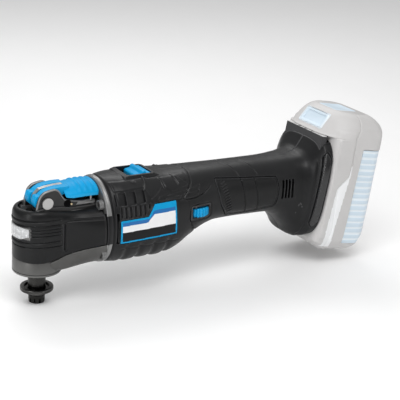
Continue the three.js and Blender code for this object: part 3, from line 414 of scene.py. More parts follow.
def brushed(name, colour, rough, along, edge_wear_and_highlight=0.5):
    """Turned or brushed metal: fine streaks along one axis, lighter edges that are part wear and part
    painted highlight, and painted shade in creases.
    """
    n = Nodes(name)
    stretch = n.add("ShaderNodeMapping")
    stretch.inputs["Scale"].default_value = along
    n.link(n.place(), stretch.inputs["Vector"])
    streak = n.add("ShaderNodeTexNoise")
    streak.inputs["Scale"].default_value = 900
    streak.inputs["Detail"].default_value = 3
    n.link(stretch.outputs["Vector"], streak.inputs["Vector"])
    lines = streak.outputs["Fac"]
    shade = n.mixed(n.span(lines, 0.3, 0.7, 0, 1), tuple(c * 0.78 for c in colour),
                    tuple(min(1, c * 1.18) for c in colour))
    edge = n.add("ShaderNodeNewGeometry").outputs["Pointiness"]
    # lighter edges: part edge wear, part painted highlight
    shade = n.mixed(n.span(edge, 0.52, 0.6, 0, edge_wear_and_highlight), shade, (0.75, 0.74, 0.72))
    # painted shade: concave creases darkened towards a third of the metal colour
    shade = n.mixed(n.span(edge, 0.4, 0.49, 0.6, 0), shade, tuple(c * 0.3 for c in colour))
    n.link(shade, n.shader.inputs["Base Color"])
    n.link(n.span(lines, 0.3, 0.7, rough - 0.06, rough + 0.08), n.shader.inputs["Roughness"])
    n.shader.inputs["Metallic"].default_value = 1
    n.bump(lines, 0.12, 0.00003)
    return n.material


def lens_material():
    """Frosted clear lens."""
    n = Nodes("frosted_lens")
    cloud = n.noise(420, 4, 0.6)
    n.link(n.mixed(n.span(cloud, 0.3, 0.7, 0, 1), (0.5, 0.51, 0.52), (0.86, 0.87, 0.88)),
           n.shader.inputs["Base Color"])
    n.link(n.span(cloud, 0.3, 0.7, 0.12, 0.3), n.shader.inputs["Roughness"])
    n.shader.inputs["Transmission Weight"].default_value = 0.25
    n.shader.inputs["Coat Weight"].default_value = 0.6
    n.bump(cloud, 0.2, 0.0001)
    return n.material


def windings_material():
    """Copper windings: close wires running round."""
    n = Nodes("copper_windings")
    wave = n.add("ShaderNodeTexWave", wave_type="BANDS", bands_direction="X")
    wave.inputs["Scale"].default_value = 900
    wave.inputs["Distortion"].default_value = 0.6
    n.link(n.place(), wave.inputs["Vector"])
    n.link(n.mixed(wave.outputs["Fac"], (0.2, 0.07, 0.02), (0.72, 0.33, 0.14)),
           n.shader.inputs["Base Color"])
    n.link(n.span(n.noise(300), 0.3, 0.7, 0.28, 0.42), n.shader.inputs["Roughness"])
    n.shader.inputs["Metallic"].default_value = 0.9
    n.bump(wave.outputs["Fac"], 0.4, 0.0002)
    return n.material


charcoal = worn_with_painted_light("charcoal_plastic_look", (0.0085, 0.0087, 0.0094), (0.13, 0.13, 0.135), 0.36, edge_wear_and_highlight=0.7,
                bump=0.2, specular=0.27)
grip_rubber = worn_with_painted_light("grip_overmould_look", (0.0072, 0.0074, 0.008), (0.1, 0.1, 0.105), 0.4, edge_wear_and_highlight=0.5,
                   bump=0.25, grain=1900.0, specular=0.27)
black_rubber = worn_with_painted_light("black_rubber_look", (0.005, 0.0052, 0.0057), (0.08, 0.08, 0.085), 0.36, edge_wear_and_highlight=0.5,
                    bump=0.25, grain=1700.0, specular=0.27)
gloss_black = worn_with_painted_light("gloss_black_look", (0.008, 0.008, 0.009), (0.06, 0.06, 0.065), 0.24, edge_wear_and_highlight=0.4,
                   coat=0.35, bump=0.05)
# near-black material for vents, slots, holes and the switch and dial pits: painted shade where the real
# openings fall dark
recess_painted_shade = worn_with_painted_light("recess_painted_shade_look", (0.003, 0.003, 0.0033), (0.01, 0.01, 0.01), 0.8, edge_wear_and_highlight=0.1,
                 specular=0.05)
cast_metal = worn_with_painted_light("cast_metal_look", (0.105, 0.104, 0.101), (0.36, 0.36, 0.35), 0.34, metal=0.8, edge_wear_and_highlight=0.6,
                  grain=1300.0, bump=0.35, grain_depth=0.00006)
dark_cast = worn_with_painted_light("dark_cast_look", (0.035, 0.035, 0.035), (0.26, 0.26, 0.26), 0.4, metal=0.6, edge_wear_and_highlight=0.8,
                 grain=1300.0, bump=0.3, grain_depth=0.00006)
collar_metal = worn_with_painted_light("collar_metal_look", (0.22, 0.22, 0.218), (0.5, 0.5, 0.5), 0.42, metal=0.7, edge_wear_and_highlight=0.8,
                    grain=1300.0, bump=0.25)
satin_steel = brushed("satin_steel_look", (0.2, 0.198, 0.194), 0.36, (1, 1, 8))
dark_steel = brushed("dark_steel_look", (0.03, 0.0295, 0.028), 0.3, (1, 1, 8), 0.06)
flange_steel = brushed("flange_steel_look", (0.06, 0.059, 0.057), 0.3, (1, 1, 8), 0.1)
pin_steel = brushed("pin_steel_look", (0.3, 0.3, 0.298), 0.42, (6, 1, 6))
azure = worn_with_painted_light("azure_plastic_look", (0.0, 0.31, 0.63), (0.06, 0.45, 0.78), 0.42, edge_wear_and_highlight=0.4, mottle=0.05,
             bump=0.15, crease_shade_depth=0.9, specular=0.16)
label_blue = worn_with_painted_light("label_blue_look", (0.0, 0.31, 0.62), (0.1, 0.5, 0.8), 0.36, edge_wear_and_highlight=0.1, mottle=0.04,
                  bump=0.05, specular=0.2)
label_dark_blue = worn_with_painted_light("label_dark_blue_look", (0.0, 0.13, 0.4), (0.1, 0.4, 0.7), 0.36, edge_wear_and_highlight=0.1,
                       mottle=0.04, bump=0.05)
label_white = worn_with_painted_light("label_white_look", (0.84, 0.84, 0.85), (0.95, 0.95, 0.95), 0.4, edge_wear_and_highlight=0.1, mottle=0.02,
                   bump=0.05)
label_black = worn_with_painted_light("label_black_look", (0.006, 0.006, 0.007), (0.05, 0.05, 0.05), 0.34, edge_wear_and_highlight=0.1,
                   mottle=0.06, bump=0.05, specular=0.2)
pale_grey = worn_with_painted_light("pale_grey_look", (0.57, 0.56, 0.555), (0.8, 0.8, 0.8), 0.5, edge_wear_and_highlight=0.5, mottle=0.025,
                 bump=0.2, crease_shade_depth=0.35)
pale_blue = worn_with_painted_light("pale_blue_look", (0.62, 0.73, 0.82), (0.86, 0.91, 0.95), 0.45, edge_wear_and_highlight=0.4, mottle=0.025,
                 bump=0.15, crease_shade_depth=0.3)
pale_frame = worn_with_painted_light("pale_frame_look", (0.78, 0.85, 0.9), (0.93, 0.95, 0.97), 0.42, edge_wear_and_highlight=0.4, mottle=0.02,
                  bump=0.15, crease_shade_depth=0.2)
pack_white = worn_with_painted_light("pack_white_look", (0.86, 0.87, 0.88), (0.96, 0.96, 0.97), 0.42, edge_wear_and_highlight=0.3, mottle=0.015,
                  bump=0.1, crease_shade_depth=0.2)
board_green = worn_with_painted_light("board_look", (0.015, 0.11, 0.045), (0.2, 0.4, 0.25), 0.45, edge_wear_and_highlight=0.3, mottle=0.25,
                   grain=900.0)
brass = brushed("brass_look", (0.62, 0.44, 0.16), 0.3, (1, 8, 1))
cell_blue = worn_with_painted_light("cell_wrap_look", (0.05, 0.15, 0.4), (0.3, 0.5, 0.75), 0.3, edge_wear_and_highlight=0.3, mottle=0.06)
windings = windings_material()
lens = lens_material()

slot_looks = {
    "cast_metal": cast_metal, "steel": satin_steel, "black_rubber": black_rubber,
    "charcoal_plastic": charcoal, "blue_plastic": azure, "clear_lens": lens, "label_print": label_blue,
    "pale_grey_plastic": pale_grey, "pale_blue_plastic": pale_blue, "circuit_board": board_green,
    "copper": windings, "brass": brass, "cell_wrap": cell_blue,
}
node_looks = {
    "spindle": dark_steel, "tool_flange": dark_steel, "clamp_jaws": dark_steel, "lever_pin": pin_steel,
    "terminal_block": brass, "lever_insert": pin_steel, "housing_screw_front": dark_steel,
    "housing_screw_middle": dark_steel, "housing_screw_rear": dark_steel,
}
for part in frame["record"]["subparts"]:
    cad = frame["nodes"][part["node"]]
    cad.data.materials.clear()
    cad.data.materials.append(node_looks.get(part["node"], slot_looks[part["material_slot"]]))

# ------------------------------------------------------------------ the body's outside surface

# X at the pivot height, half width, bottom, top, height of the widest line, squareness, lean
BODY = np.array([(50.7, 30.2, 17.3, 86.4, 49, 2.1, 0), (57, 30.6, 16.8, 87, 49, 2.3, 0),
                 (64, 30.9, 16.6, 87.3, 49, 2.5, 0), (80, 31, 17.2, 87.3, 50, 2.6, 0),
                 (96, 30.8, 16.9, 86.8, 51, 2.6, 0), (106, 30.4, 18.2, 85.6, 52, 2.6, 0),
                 (114, 29.9, 21.3, 85.3, 53, 2.6, 0), (123, 29, 27, 85.2, 55, 2.5, 0),
                 (132, 27.9, 32.6, 85, 57, 2.4, 0), (142, 26.4, 36.6, 84.8, 59, 2.4, 0),
                 (152, 25.2, 38.6, 84.6, 60, 2.4, 0), (166, 24.6, 38.8, 84.3, 60, 2.4, 0),
                 (186, 24.4, 38.3, 84, 60, 2.4, 0), (204, 24.4, 37.6, 83.8, 60, 2.4, 0),
                 (214, 24.6, 34, 84, 59, 2.5, 0.02), (222, 24.9, 28, 84.5, 58, 2.7, 0.05),
                 (229, 25.6, 21.6, 85.2, 57, 3, 0.09), (233.5, 27, 16.8, 86, 57, 3.1, 0.12),
                 (236, 28.6, 14.8, 88.4, 57, 3.2, 0.14), (238.6, 31.2, 13.6, 93.5, 57, 3.3, 0.155),
                 (241.2, 34.2, 13, 99, 57, 3.4, 0.165), (243.6, 36.4, 13, 101.6, 57, 3.5, FOOT_SLOPE),
                 (FOOT_REAR, 37.4, 13.6, 102.6, 57, 3.5, FOOT_SLOPE)])


def body_at(u):
    """The body's section values at station u."""
    return [smooth_curve(BODY[:, 0], BODY[:, k], u) for k in range(1, 7)]


def oval(values, count, station):
    """Points evenly spaced round one section, from the top centre towards +Y."""
    half, bottom, top, wide, power, lean = values
    angle = np.linspace(0, 2 * math.pi, 2401) + math.pi / 2
    across = -np.cos(angle)
    up = np.sin(angle)
    tall = np.where(up >= 0, top - wide, wide - bottom)
    y = half * np.sign(across) * np.abs(across) ** (2 / power)
    z = wide + tall * np.sign(up) * np.abs(up) ** (2 / power)
    run = np.concatenate([[0], np.cumsum(np.hypot(np.diff(y), np.diff(z)))])
    at = np.linspace(0, run[-1], count, endpoint=False)
    z_at = np.interp(at, run, z)
    points = np.zeros((count, 3))
    points[:, 1] = np.interp(at, run, y)
    points[:, 2] = z_at
    points[:, 0] = station + lean * (z_at - PIVOT_Z)
    return points


def body_side(x, z):
    """Half width of the body at (x, z)."""
    u = np.array(x, float)
    for _ in range(5):
        u = x - smooth_curve(BODY[:, 0], BODY[:, 6], u) * (z - PIVOT_Z)
    half, bottom, top, wide, power, _ = body_at(u)
    tall = np.where(z >= wide, top - wide, wide - bottom)
    q = np.clip(np.abs(z - wide) / tall, 0, 0.9999)
    return half * (1 - q ** power) ** (1 / power)


def body_top(x, y):
    """Height of the body's top at (x, y)."""
    half, _, top, wide, power, _ = body_at(np.asarray(x, float))
    q = np.clip(np.abs(y) / half, 0, 0.9999)
    return wide + (top - wide) * (1 - q ** power) ** (1 / power)


def side_patch(name, outline, side, lift, deep, cell, materials, pick=None, shape=None, soft=0.5):
    """Pad on the body's side: a fine grid cut to an outline, standing at lift and going down by deep."""
    outline = np.asarray(outline, float)
    low = outline.min(0)
    high = outline.max(0)
    across = max(int(round((high[0] - low[0]) / cell)), 4)
    up = max(int(round((high[1] - low[1]) / cell)), 4)
    a, b = np.meshgrid(np.linspace(low[0], high[0], across + 1), np.linspace(low[1], high[1], up + 1))
    a, b = snapped(a, b, outline, cell)
    distance = outline_distance(a, b, outline)
    centre_distance = outline_distance(face_centres(a, False), face_centres(b, False), outline)
    rim = np.clip(1 + distance / soft, 0, 1)
    height = lift - soft * 0.8 * (1 - np.sqrt(1 - rim ** 2))
    if shape is not None:
        height = height + shape(a, b) * np.clip(-distance / soft, 0, 1)
    points = on_side(a, b, side, height)
    keep = centre_distance < 0
    chosen = None if pick is None else pick(face_centres(a, False), face_centres(b, False))
    piece = skin(name, points, materials, wraps=False, keep=keep, pick=chosen, angle=50)
    face_out(piece, Vector((0, side, 0)))
    return thickened(piece, deep)


def thickened(piece, thickness):
    """Gives an open shell its thickness, inwards."""
    wall = piece.modifiers.new("wall", "SOLIDIFY")
    wall.thickness = thickness * MM
    wall.offset = -1
    return piece


def face_out(piece, direction):
    """Turns an open piece so that its faces look along a direction."""
    total = sum((face.normal * face.area for face in piece.data.polygons), Vector())
    if total.dot(direction) < 0:
        piece.data.flip_normals()
    return piece


def on_side(a, b, side, height):
    """Points on the body's side at (x, z), lifted along its normal."""
    step = 0.2
    width = body_side(a, b)
    slope_x = (body_side(a + step, b) - body_side(a - step, b)) / (2 * step)
    slope_z = (body_side(a, b + step) - body_side(a, b - step)) / (2 * step)
    size = np.sqrt(1 + slope_x ** 2 + slope_z ** 2)
    points = np.zeros((*a.shape, 3))
    points[..., 0] = a - height * slope_x / size
    points[..., 1] = side * (width + height / size)
    points[..., 2] = b - height * slope_z / size
    return points


def snapped(a, b, outline, cell):
    """Grid points near an outline moved on to it, so that the cut edge is clean."""
    pts = np.asarray(outline, float)
    ends = np.roll(pts, -1, axis=0)
    best = np.full(a.shape, 1e9)
    at_a = a.copy()
    at_b = b.copy()
    for (x0, y0), (x1, y1) in zip(pts, ends):
        dx = x1 - x0
        dy = y1 - y0
        t = np.clip(((a - x0) * dx + (b - y0) * dy) / (dx * dx + dy * dy + 1e-12), 0, 1)
        near_a = x0 + t * dx
        near_b = y0 + t * dy
        gap = np.hypot(a - near_a, b - near_b)
        closer = gap < best
        best = np.where(closer, gap, best)
        at_a = np.where(closer, near_a, at_a)
        at_b = np.where(closer, near_b, at_b)
    move = best < cell * 0.52
    return np.where(move, at_a, a), np.where(move, at_b, b)


# ------------------------------------------------------------------ body details

LABEL = rounded([(57.4, 39), (108.4, 40.1), (106.7, 68.1), (87.3, 67.8), (81.4, 58.4), (57.2, 57.9)], 0.8)
GRIP_PANEL = rounded([(146.4, 78.4), (170, 76), (206.4, 73), (208.8, 62), (206.8, 47), (192, 45.6),
                      (175, 44.8), (158.5, 46), (151.4, 57), (148, 69)], 2.4)
BUMPER = rounded([(238.4, 26), (243.4, 30), (249.6, 66), (253.2, 86), (250.4, 92), (246.4, 88), (240.6, 55),
                  (236.2, 30)], 2)
DIAL_WINDOW = rounded([(122.2, 49.4), (139.8, 49.4), (139.8, 59.6), (122.2, 59.6)], 1.2)
SLOT = rounded([(54.1, 39.5), (56.3, 39.5), (56.3, 64), (54.1, 64)], 0.6)
OVERMOULD = [(126, 90), (126, 84), (123.4, 78.8), (117, 72), (113.4, 68.4), (118, 67), (125.4, 67.2),
             (134, 69.4), (141, 74)]
LOWER_SEAM = [(128.4, 61.4), (123.4, 59.4), (120.6, 56), (121, 49), (124.6, 42), (131, 36)]
FACETS = [
    ([(54, 84.6), (82.6, 85.4), (80.4, 80.2), (54.8, 79.2)], 0.55),
    ([(82.4, 86), (87.6, 84.8), (95.4, 84.6), (96.4, 79), (90.4, 74.6), (84.4, 71.4), (80.9, 78.6)], 0.7),
    ([(98.4, 84), (99.4, 78.4), (104, 74.8), (121, 77.6), (113, 83.4)], 0.45),
    ([(104, 90), (110.6, 84.6), (113.4, 79.8), (121, 80.6), (121.6, 90)], 0.35),
    ([(92, 72.6), (98, 73.6), (112, 71), (111, 69.4), (90, 69.6)], 0.4),
]


RIB_EDGES = (55.2, 63.4, 71.6, 79.6)
GRIP_START_Z = [38, 44, 51, 68.4, 78, 84, 90]
GRIP_START_X = [125, 121.8, 121.4, 117.8, 123.2, 124.2, 123]
AIR_SLOTS = 4
AIR_SLOT_PITCH = 3.2
AIR_SLOT_TOP = (212.85, 68.6)
AIR_SLOT_BOTTOM = (212.55, 53.9)


def grip_start(z):
    """Where along the body the softer grip finish starts, at a height."""
    return smooth_curve(GRIP_START_Z, GRIP_START_X, z)


def air_slot_distance(x, z):
    """Distance to the middle line of the nearest air slot."""
    best = np.full(x.shape, 1e9)
    for k in range(AIR_SLOTS):
        line = [(at_x + AIR_SLOT_PITCH * k, at_z) for at_x, at_z in (AIR_SLOT_TOP, AIR_SLOT_BOTTOM)]
        best = np.minimum(best, line_distance(x, z, line))
    return best


def rib_height(x, z):
    """Shingled wide ribs above and fine upright ribs below them."""
    wide = inside_ramp(outline_distance(x, z, [(54.4, 69.3), (80.6, 70.2), (79.6, 79), (54.8, 78)]), 0.5)
    height = np.full(x.shape, -0.9)
    for edge in RIB_EDGES:
        behind = np.clip((x - edge) / 7.6, 0, 1)
        height = np.where(x > edge - 0.45, 0.25 - 1.55 * behind, height)
    fine = inside_ramp(outline_distance(x, z, [(57.6, 59.8), (79.6, 60.2), (86.6, 68.6), (57.6, 68.6)]),
                       0.5)
    upright = -0.75 - 0.75 * np.cos(2 * math.pi * (x - 58.6) / 4.1)
    return wide * height + fine * upright


def body_relief(points):
    """How far each point of the body stands out of or into its smooth surface."""
    x = points[..., 0]
    y = points[..., 1]
    z = points[..., 2]
    flank = ease((np.abs(y) - 9) / 5)
    height = np.zeros(x.shape)
    height -= 1.1 * ease((53.2 - x) / 2.2)
    height -= 0.35 * np.exp(-((x - 56.4) / 0.5) ** 2) * (z > 66) * (z < 84)
    height += flank * rib_height(x, z)
    for outline, proud in FACETS:
        height += flank * proud * inside_ramp(outline_distance(x, z, outline), 0.7)
    height -= 1.15 * inside_ramp(outline_distance(x, z, LABEL) - 0.35, 0.5) * (np.abs(y) > 10)
    height -= 2.2 * inside_ramp(outline_distance(x, z, SLOT), 0.4) * (np.abs(y) > 10)
    height -= 1.8 * inside_ramp(outline_distance(x, z, GRIP_PANEL) - 0.3, 0.5) * (np.abs(y) > 9)
    height -= 2.0 * inside_ramp(outline_distance(x, z, BUMPER) - 0.3, 0.5) * (np.abs(y) > 20)
    seam = np.minimum(line_distance(x, z, OVERMOULD), line_distance(x, z, LOWER_SEAM))
    height -= 0.95 * np.exp(-(seam / 0.5) ** 2) * (np.abs(y) > 3)
    rest = ease((x - grip_start(z)) / 0.8)
    height += 0.25 * rest * ease((228 - x) / 6)
    for start, end in ((163.5, 170.5), (181.5, 188)):
        line = x - start - (end - start) * np.clip(np.abs(y) / 20, 0, 1.1)
        height -= 0.4 * np.exp(-(line / 0.45) ** 2) * (z > 74)
    height -= 0.55 * np.exp(-(y / 0.35) ** 2) * (z > 60) * ease((x - 231) / 3)
    height -= 0.4 * np.exp(-(y / 0.35) ** 2) * (z < 60)
    for slash in ([(96.4, 83.6), (97.2, 78.4)], [(109, 85.6), (112, 79)], [(83, 85.4), (80.4, 79)]):
        height += flank * 1.0 * np.exp(-(line_distance(x, z, slash) / 0.6) ** 2)
    for mark in ([(99, 72.4), (131, 76)], [(97, 70.4), (130, 72.6)], [(110, 67.4), (128, 69.6)],
                 [(131, 76), (128, 69.6)]):
        height += flank * 0.35 * np.exp(-(line_distance(x, z, mark) / 0.45) ** 2)
    under = ease((40 - z) / 8) * ease((x - 57) / 4) * ease((113 - x) / 5)
    height -= under * 1.5 * (0.5 + 0.5 * np.cos(2 * math.pi * (x - 64) / 12.6)) ** 3
    height -= 0.5 * under * np.exp(-((z - 34) / 0.6) ** 2)
    height -= 2.2 * inside_ramp(air_slot_distance(x, z) - 0.85, 0.5) * (np.abs(y) > 10)
    frame_rim = outline_distance(x, z, DIAL_WINDOW)
    height -= 0.7 * inside_ramp(np.abs(frame_rim - 1.4) - 1.0, 0.6) * (y < 0)
    flange = x - FOOT_SLOPE * (z - PIVOT_Z)
    lip = (np.abs(y) > 16) * ease((86 - z) / 5)
    height -= 0.9 * np.exp(-((flange - 239.4) / 0.7) ** 2) * lip
    height -= 0.6 * ease((flange - 239.8) / 0.6) * lip
    return height


CHANNEL_START = 240.9                # station where the foot's top is open for the pack's rail
CHANNEL_HALF = 26.0


def body_rows():
    """Stations of the body's grid, closer where the foot flares."""
    barrel = np.linspace(50.7, 228, 400)
    flare = np.linspace(228.4, CHANNEL_START, 42)
    foot = np.linspace(CHANNEL_START + 0.3, FOOT_REAR, 29)
    return np.concatenate([barrel, flare, foot])


FACE_UP = np.array([FOOT_SLOPE, 0, 1]) / math.hypot(1, FOOT_SLOPE)
FACE_OUT = np.array([1, 0, -FOOT_SLOPE]) / math.hypot(1, FOOT_SLOPE)
FACE_AT = np.array([FOOT_REAR, 0, PIVOT_Z])


def face_point(y, up, out):
    """Point in the frame of the foot's rear face."""
    return FACE_AT + np.array([0, 1, 0]) * y + FACE_UP * up + FACE_OUT * out


COLUMNS = 400


def build_body():
    """Left and right housing skins with their moulded detail."""
    rows = body_rows()
    base = np.array([oval(body_at(u), COLUMNS, u) for u in rows])
    points = base + grid_normals(base) * body_relief(base)[..., None]
    beside = np.abs(np.abs(points[..., 1]) - CHANNEL_HALF) < 0.42
    beside &= (points[..., 2] > 88) & (rows[:, None] >= CHANNEL_START)
    points[..., 1] = np.where(beside, np.sign(points[..., 1]) * CHANNEL_HALF, points[..., 1])
    centre = face_centres(points)
    x = centre[..., 0]
    y = centre[..., 1]
    z = centre[..., 2]
    window = (outline_distance(x, z, DIAL_WINDOW) < -0.1) & (y < 0)
    pit = (np.abs(x - 82.6) < 12.6) & (np.abs(y) < 12) & (z > 70)
    behind = (rows[:-1] >= CHANNEL_START)[:, None]
    channel = behind & (np.abs(y) < CHANNEL_HALF) & (z > 90)
    solid = ~(window | pit | channel)
    vents = air_slot_distance(x, z) < 0.9
    slots = vents | (outline_distance(x, z, SLOT) < 0)
    pick = np.where((x > grip_start(z)) & (x <= 232) & ~vents, 1, 0)
    # vent and slot faces take the near-black recess material: painted shade for the dark inside of the
    # openings
    pick = np.where(slots & (np.abs(y) > 10), 2, pick)
    looks = [charcoal, grip_rubber, recess_painted_shade]
    for name, side in (("housing_left_skin", -1), ("housing_right_skin", 1)):
        keep = solid & (y * side > 0)
        piece = skin(name, points, looks, keep=keep, pick=pick, angle=60)
        outwards(piece)
        thickened(piece, SHELL_WALL)
        place(piece, "tool", "charcoal_plastic", "housing_left" if side < 0 else "housing_right")


def outwards(piece):
    """Makes an open shell face away from the body's axis."""
    score = 0.0
    for face in piece.data.polygons:
        middle = face.center
        away = Vector((0, middle.y, middle.z - BODY_AXIS_Z * MM))
        score += face.normal.dot(away) * face.area
    if score < 0:
        piece.data.flip_normals()


def label_pick(a, b):
    """Which print colour each face of the label has."""
    edge = outline_distance(a, b, LABEL)
    pick = np.zeros(a.shape, int)
    top = np.where(a < 80.6, 53.4, np.where(a < 86.4, 53.4 + (a - 80.6) * 1.02, 59.3)) + 0.02 * (a - 57)
    low = 48.6 + 0.022 * (a - 57)
    inner = edge < -1.5
    pick = np.where(inner & (b > top) & (a < 86), 1, pick)
    pick = np.where(inner & (b > top) & (b < top + 3.2) & (a >= 80), 1, pick)
    pick = np.where(inner & (b <= top), 2, pick)
    pick = np.where(inner & (b <= low - 0.4), 3, pick)
    return pick


def grip_shape(a, b):
    """Grooves and the textured strip of the grip panel."""
    height = np.zeros(a.shape)
    for top, bottom in (((171.6, 76), (178, 44)), ((184.6, 75), (190.4, 44))):
        height -= 0.75 * np.exp(-(line_distance(a, b, [top, bottom]) / 0.5) ** 2)
    strip = inside_ramp(line_distance(a, b, [(153.6, 73.6), (160.4, 51.4)]) - 2.6, 0.6)
    height += strip * 0.4 * np.sign(np.sin(2 * math.pi * (b - 0.35 * a) / 2.5)) * (
        np.abs(np.sin(2 * math.pi * (b - 0.35 * a) / 2.5)) ** 0.5)
    height -= 0.35 * np.exp(-((outline_distance(a, b, GRIP_PANEL) + 1.5) / 0.4) ** 2)
    return height


def bumper_shape(a, b):
    """Raised light line down the front of the foot's bumper."""
    line = line_distance(a, b, [(248.2, 88.5), (242.2, 56), (237.6, 30)])
    return 0.35 * np.exp(-(line / 0.45) ** 2)


def build_pads():
    """Label plates, grip panels and foot bumpers, left and right."""
    label_looks = [label_blue, label_dark_blue, label_white, label_black]
    for word, side in (("left", -1), ("right", 1)):
        label = side_patch(f"label_plate_{word}", LABEL, side, -0.15, 0.8, 0.3, label_looks, label_pick,
                           soft=0.25)
        place(label, "tool", "label_print", f"label_{word}")
        panel = side_patch(f"grip_panel_{word}", GRIP_PANEL, side, 0.15, 1.4, 0.42, [black_rubber], None,
                           grip_shape, 0.9)
        place(panel, "tool", "black_rubber", f"grip_insert_{word}")
        pad = side_patch(f"foot_bumper_pad_{word}", BUMPER, side, -0.3, 1.3, 0.35, [gloss_black], None,
                         bumper_shape, 0.8)
        place(pad, "tool", "black_rubber", f"foot_bumper_{word}")


def ring_of(low, high, half, radius, steps=8):
    """Rounded rectangle in the top view, the same number of points whatever its size."""
    corners = [(high, half), (low, half), (low, -half), (high, -half)]
    out = []
    for i, (x, y) in enumerate(corners):
        cx = x - radius if x == high else x + radius
        cy = y - radius if y > 0 else y + radius
        for k in range(steps + 1):
            angle = math.pi / 2 * (i + k / steps)
            out.append((cx + radius * math.cos(angle), cy + radius * math.sin(angle)))
    return np.array(out)


def hump_height(x, y):
    """Top of the hump round the switch."""
    along = np.interp(x, [66.2, 67.4, 68.4, 72, 88.7, 95, 99.5, 101, 103],
                      [83.6, 87.1, 88.1, 89, 89.3, 88.5, 86.3, 84.6, 82.4])
    shoulder = 1.1 * np.clip((np.abs(y) - 7) / 5.4, 0, 1)
    wall = 3.8 * np.clip((np.abs(y) - 12.6) / 2.2, 0, 2)
    return along - shoulder - wall


def build_switch():
    """Hump with its recess, and the blue slider in it."""
    front = 71.6
    rear = 93.8
    half = 11
    corner = 1.6
    bottom = 81.4
    hole = ring_of(front, rear, half, corner, 14)
    rings = []
    for z_from_top, grow in ((None, 0), (0.9, 0), (0.25, 0.08), (0, 0.45)):
        outline = ring_of(front - grow, rear + grow, half + grow, corner + grow, 14)
        tops = hump_height(outline[:, 0], outline[:, 1])
        heights = np.full(len(outline), bottom) if z_from_top is None else tops - z_from_top
        rings.append(np.column_stack([outline, heights]))
    for k in range(1, 29):
        t = k / 28
        outline = ring_of(71.2 - 5.2 * t, 94.2 + 8 * t, 11.4 + 4 * t, 2 + 1.6 * t, 14)
        height = hump_height(outline[:, 0], outline[:, 1])
        floor = body_top(outline[:, 0], outline[:, 1])
        if t < 0.9:
            height = np.maximum(height, floor + 0.1)
        else:
            height = np.minimum(height, floor - 12 * (t - 0.9))
        rings.append(np.column_stack([outline, height]))
    points = np.array(rings)
    surround = skin("switch_surround", points, [charcoal], angle=35)
    # floor of the switch recess in the near-black recess material: painted shade under the slider
    floor_ring = np.column_stack([hole, np.full(len(hole), bottom)])
    floor = mesh_object("switch_floor", floor_ring, [tuple(range(len(hole)))], [recess_painted_shade])
    bump = turned("switch_mark", [(0, 1.5), (0.9, 1.35), (1.5, 0.8), (1.8, -0.6)], charcoal, 24)
    bump.data.transform(Matrix.Diagonal((1.5, 0.7, 1, 1)))
    spot = (73.4, -17.2)
    moved(bump, (*spot, body_top(*spot) + 0.3), Matrix.Rotation(math.radians(-35), 4, "Z"))
    whole = joined("switch_hump", [surround, floor, bump])
    place(whole, "tool", "charcoal_plastic")
    rib = [(79.6, 81.8), (79.6, 85.2), (80.6, 86.3), (84.6, 86.8), (85.4, 88.7), (86, 89.4), (87.8, 89.4),
           (88.5, 88.8), (89.3, 87.3), (92.6, 87.5), (93.3, 86.8), (93.4, 81.8)]
    thumb = pushed("slide_thumb", "xz", rib, -10.5, 10.5, azure, 0.45)
    leg = pushed("slide_leg", "xy", [(80, -3.3), (90, -3.3), (90, 3.3), (80, 3.3)], 78.6, 82, azure, 0.2)
    slider = joined("switch_slider", [thumb, leg])
    place(slider, "switch", "blue_plastic", "slide_switch")


def build_dial():
    """Blue thumbwheel with ribs round its rim."""
    count = 240
    teeth = 24
    centre_x = 131
    centre_y = -17.2
    window_z = 54.5
    half_wide = 8.8
    half_tall = 5.1
    angles = np.linspace(0, 2 * math.pi, count, endpoint=False)
    tooth = 0.5 + 0.5 * np.cos(teeth * angles)
    rows = []
    for z, radius in ((50, 4), (50, 11), (50.6, 11.6), (51.4, 11.9), (56, 11.9), (56.8, 11.6), (57.4, 11),
                      (57.4, 4)):
        depth = 0.9 * (1 - tooth) ** 2 * (radius > 10)
        r = radius - depth
        rows.append(np.column_stack([centre_x + r * np.cos(angles), centre_y + r * np.sin(angles),
                                     np.full(count, z)]))
    wheel = skin("speed_wheel", np.array(rows), [azure], caps=(True, True), angle=35)
    place(wheel, "dial", "blue_plastic", "speed_dial")
    rim = []
    for grow, lift in ((-0.1, -2.4), (-0.1, -0.5), (0.25, 0.0), (0.8, -0.15), (1.1, -1.0)):
        outline = np.array([(centre_x + (x - centre_x) * (1 + grow / half_wide),
                             window_z + (z - window_z) * (1 + grow / half_tall)) for x, z in DIAL_WINDOW])
        rim.append(on_side(outline[:, 0][None], outline[:, 1][None], -1, np.array([[lift]]))[0])
    # innermost band of the dial window rim in the near-black recess material: painted shade of the pit
    # round the wheel
    pick = np.zeros((len(rim) - 1, len(rim[0])), int)
    pick[0] = 1
    frame_piece = skin("dial_window_rim", np.array(rim), [charcoal, recess_painted_shade], pick=pick, angle=40)
    place(frame_piece, "tool", "charcoal_plastic")


def clock_angle(point):
    """Angle of a point of the foot's rear face, clockwise from its top."""
    return math.atan2(point[0], point[1]) % (2 * math.pi)


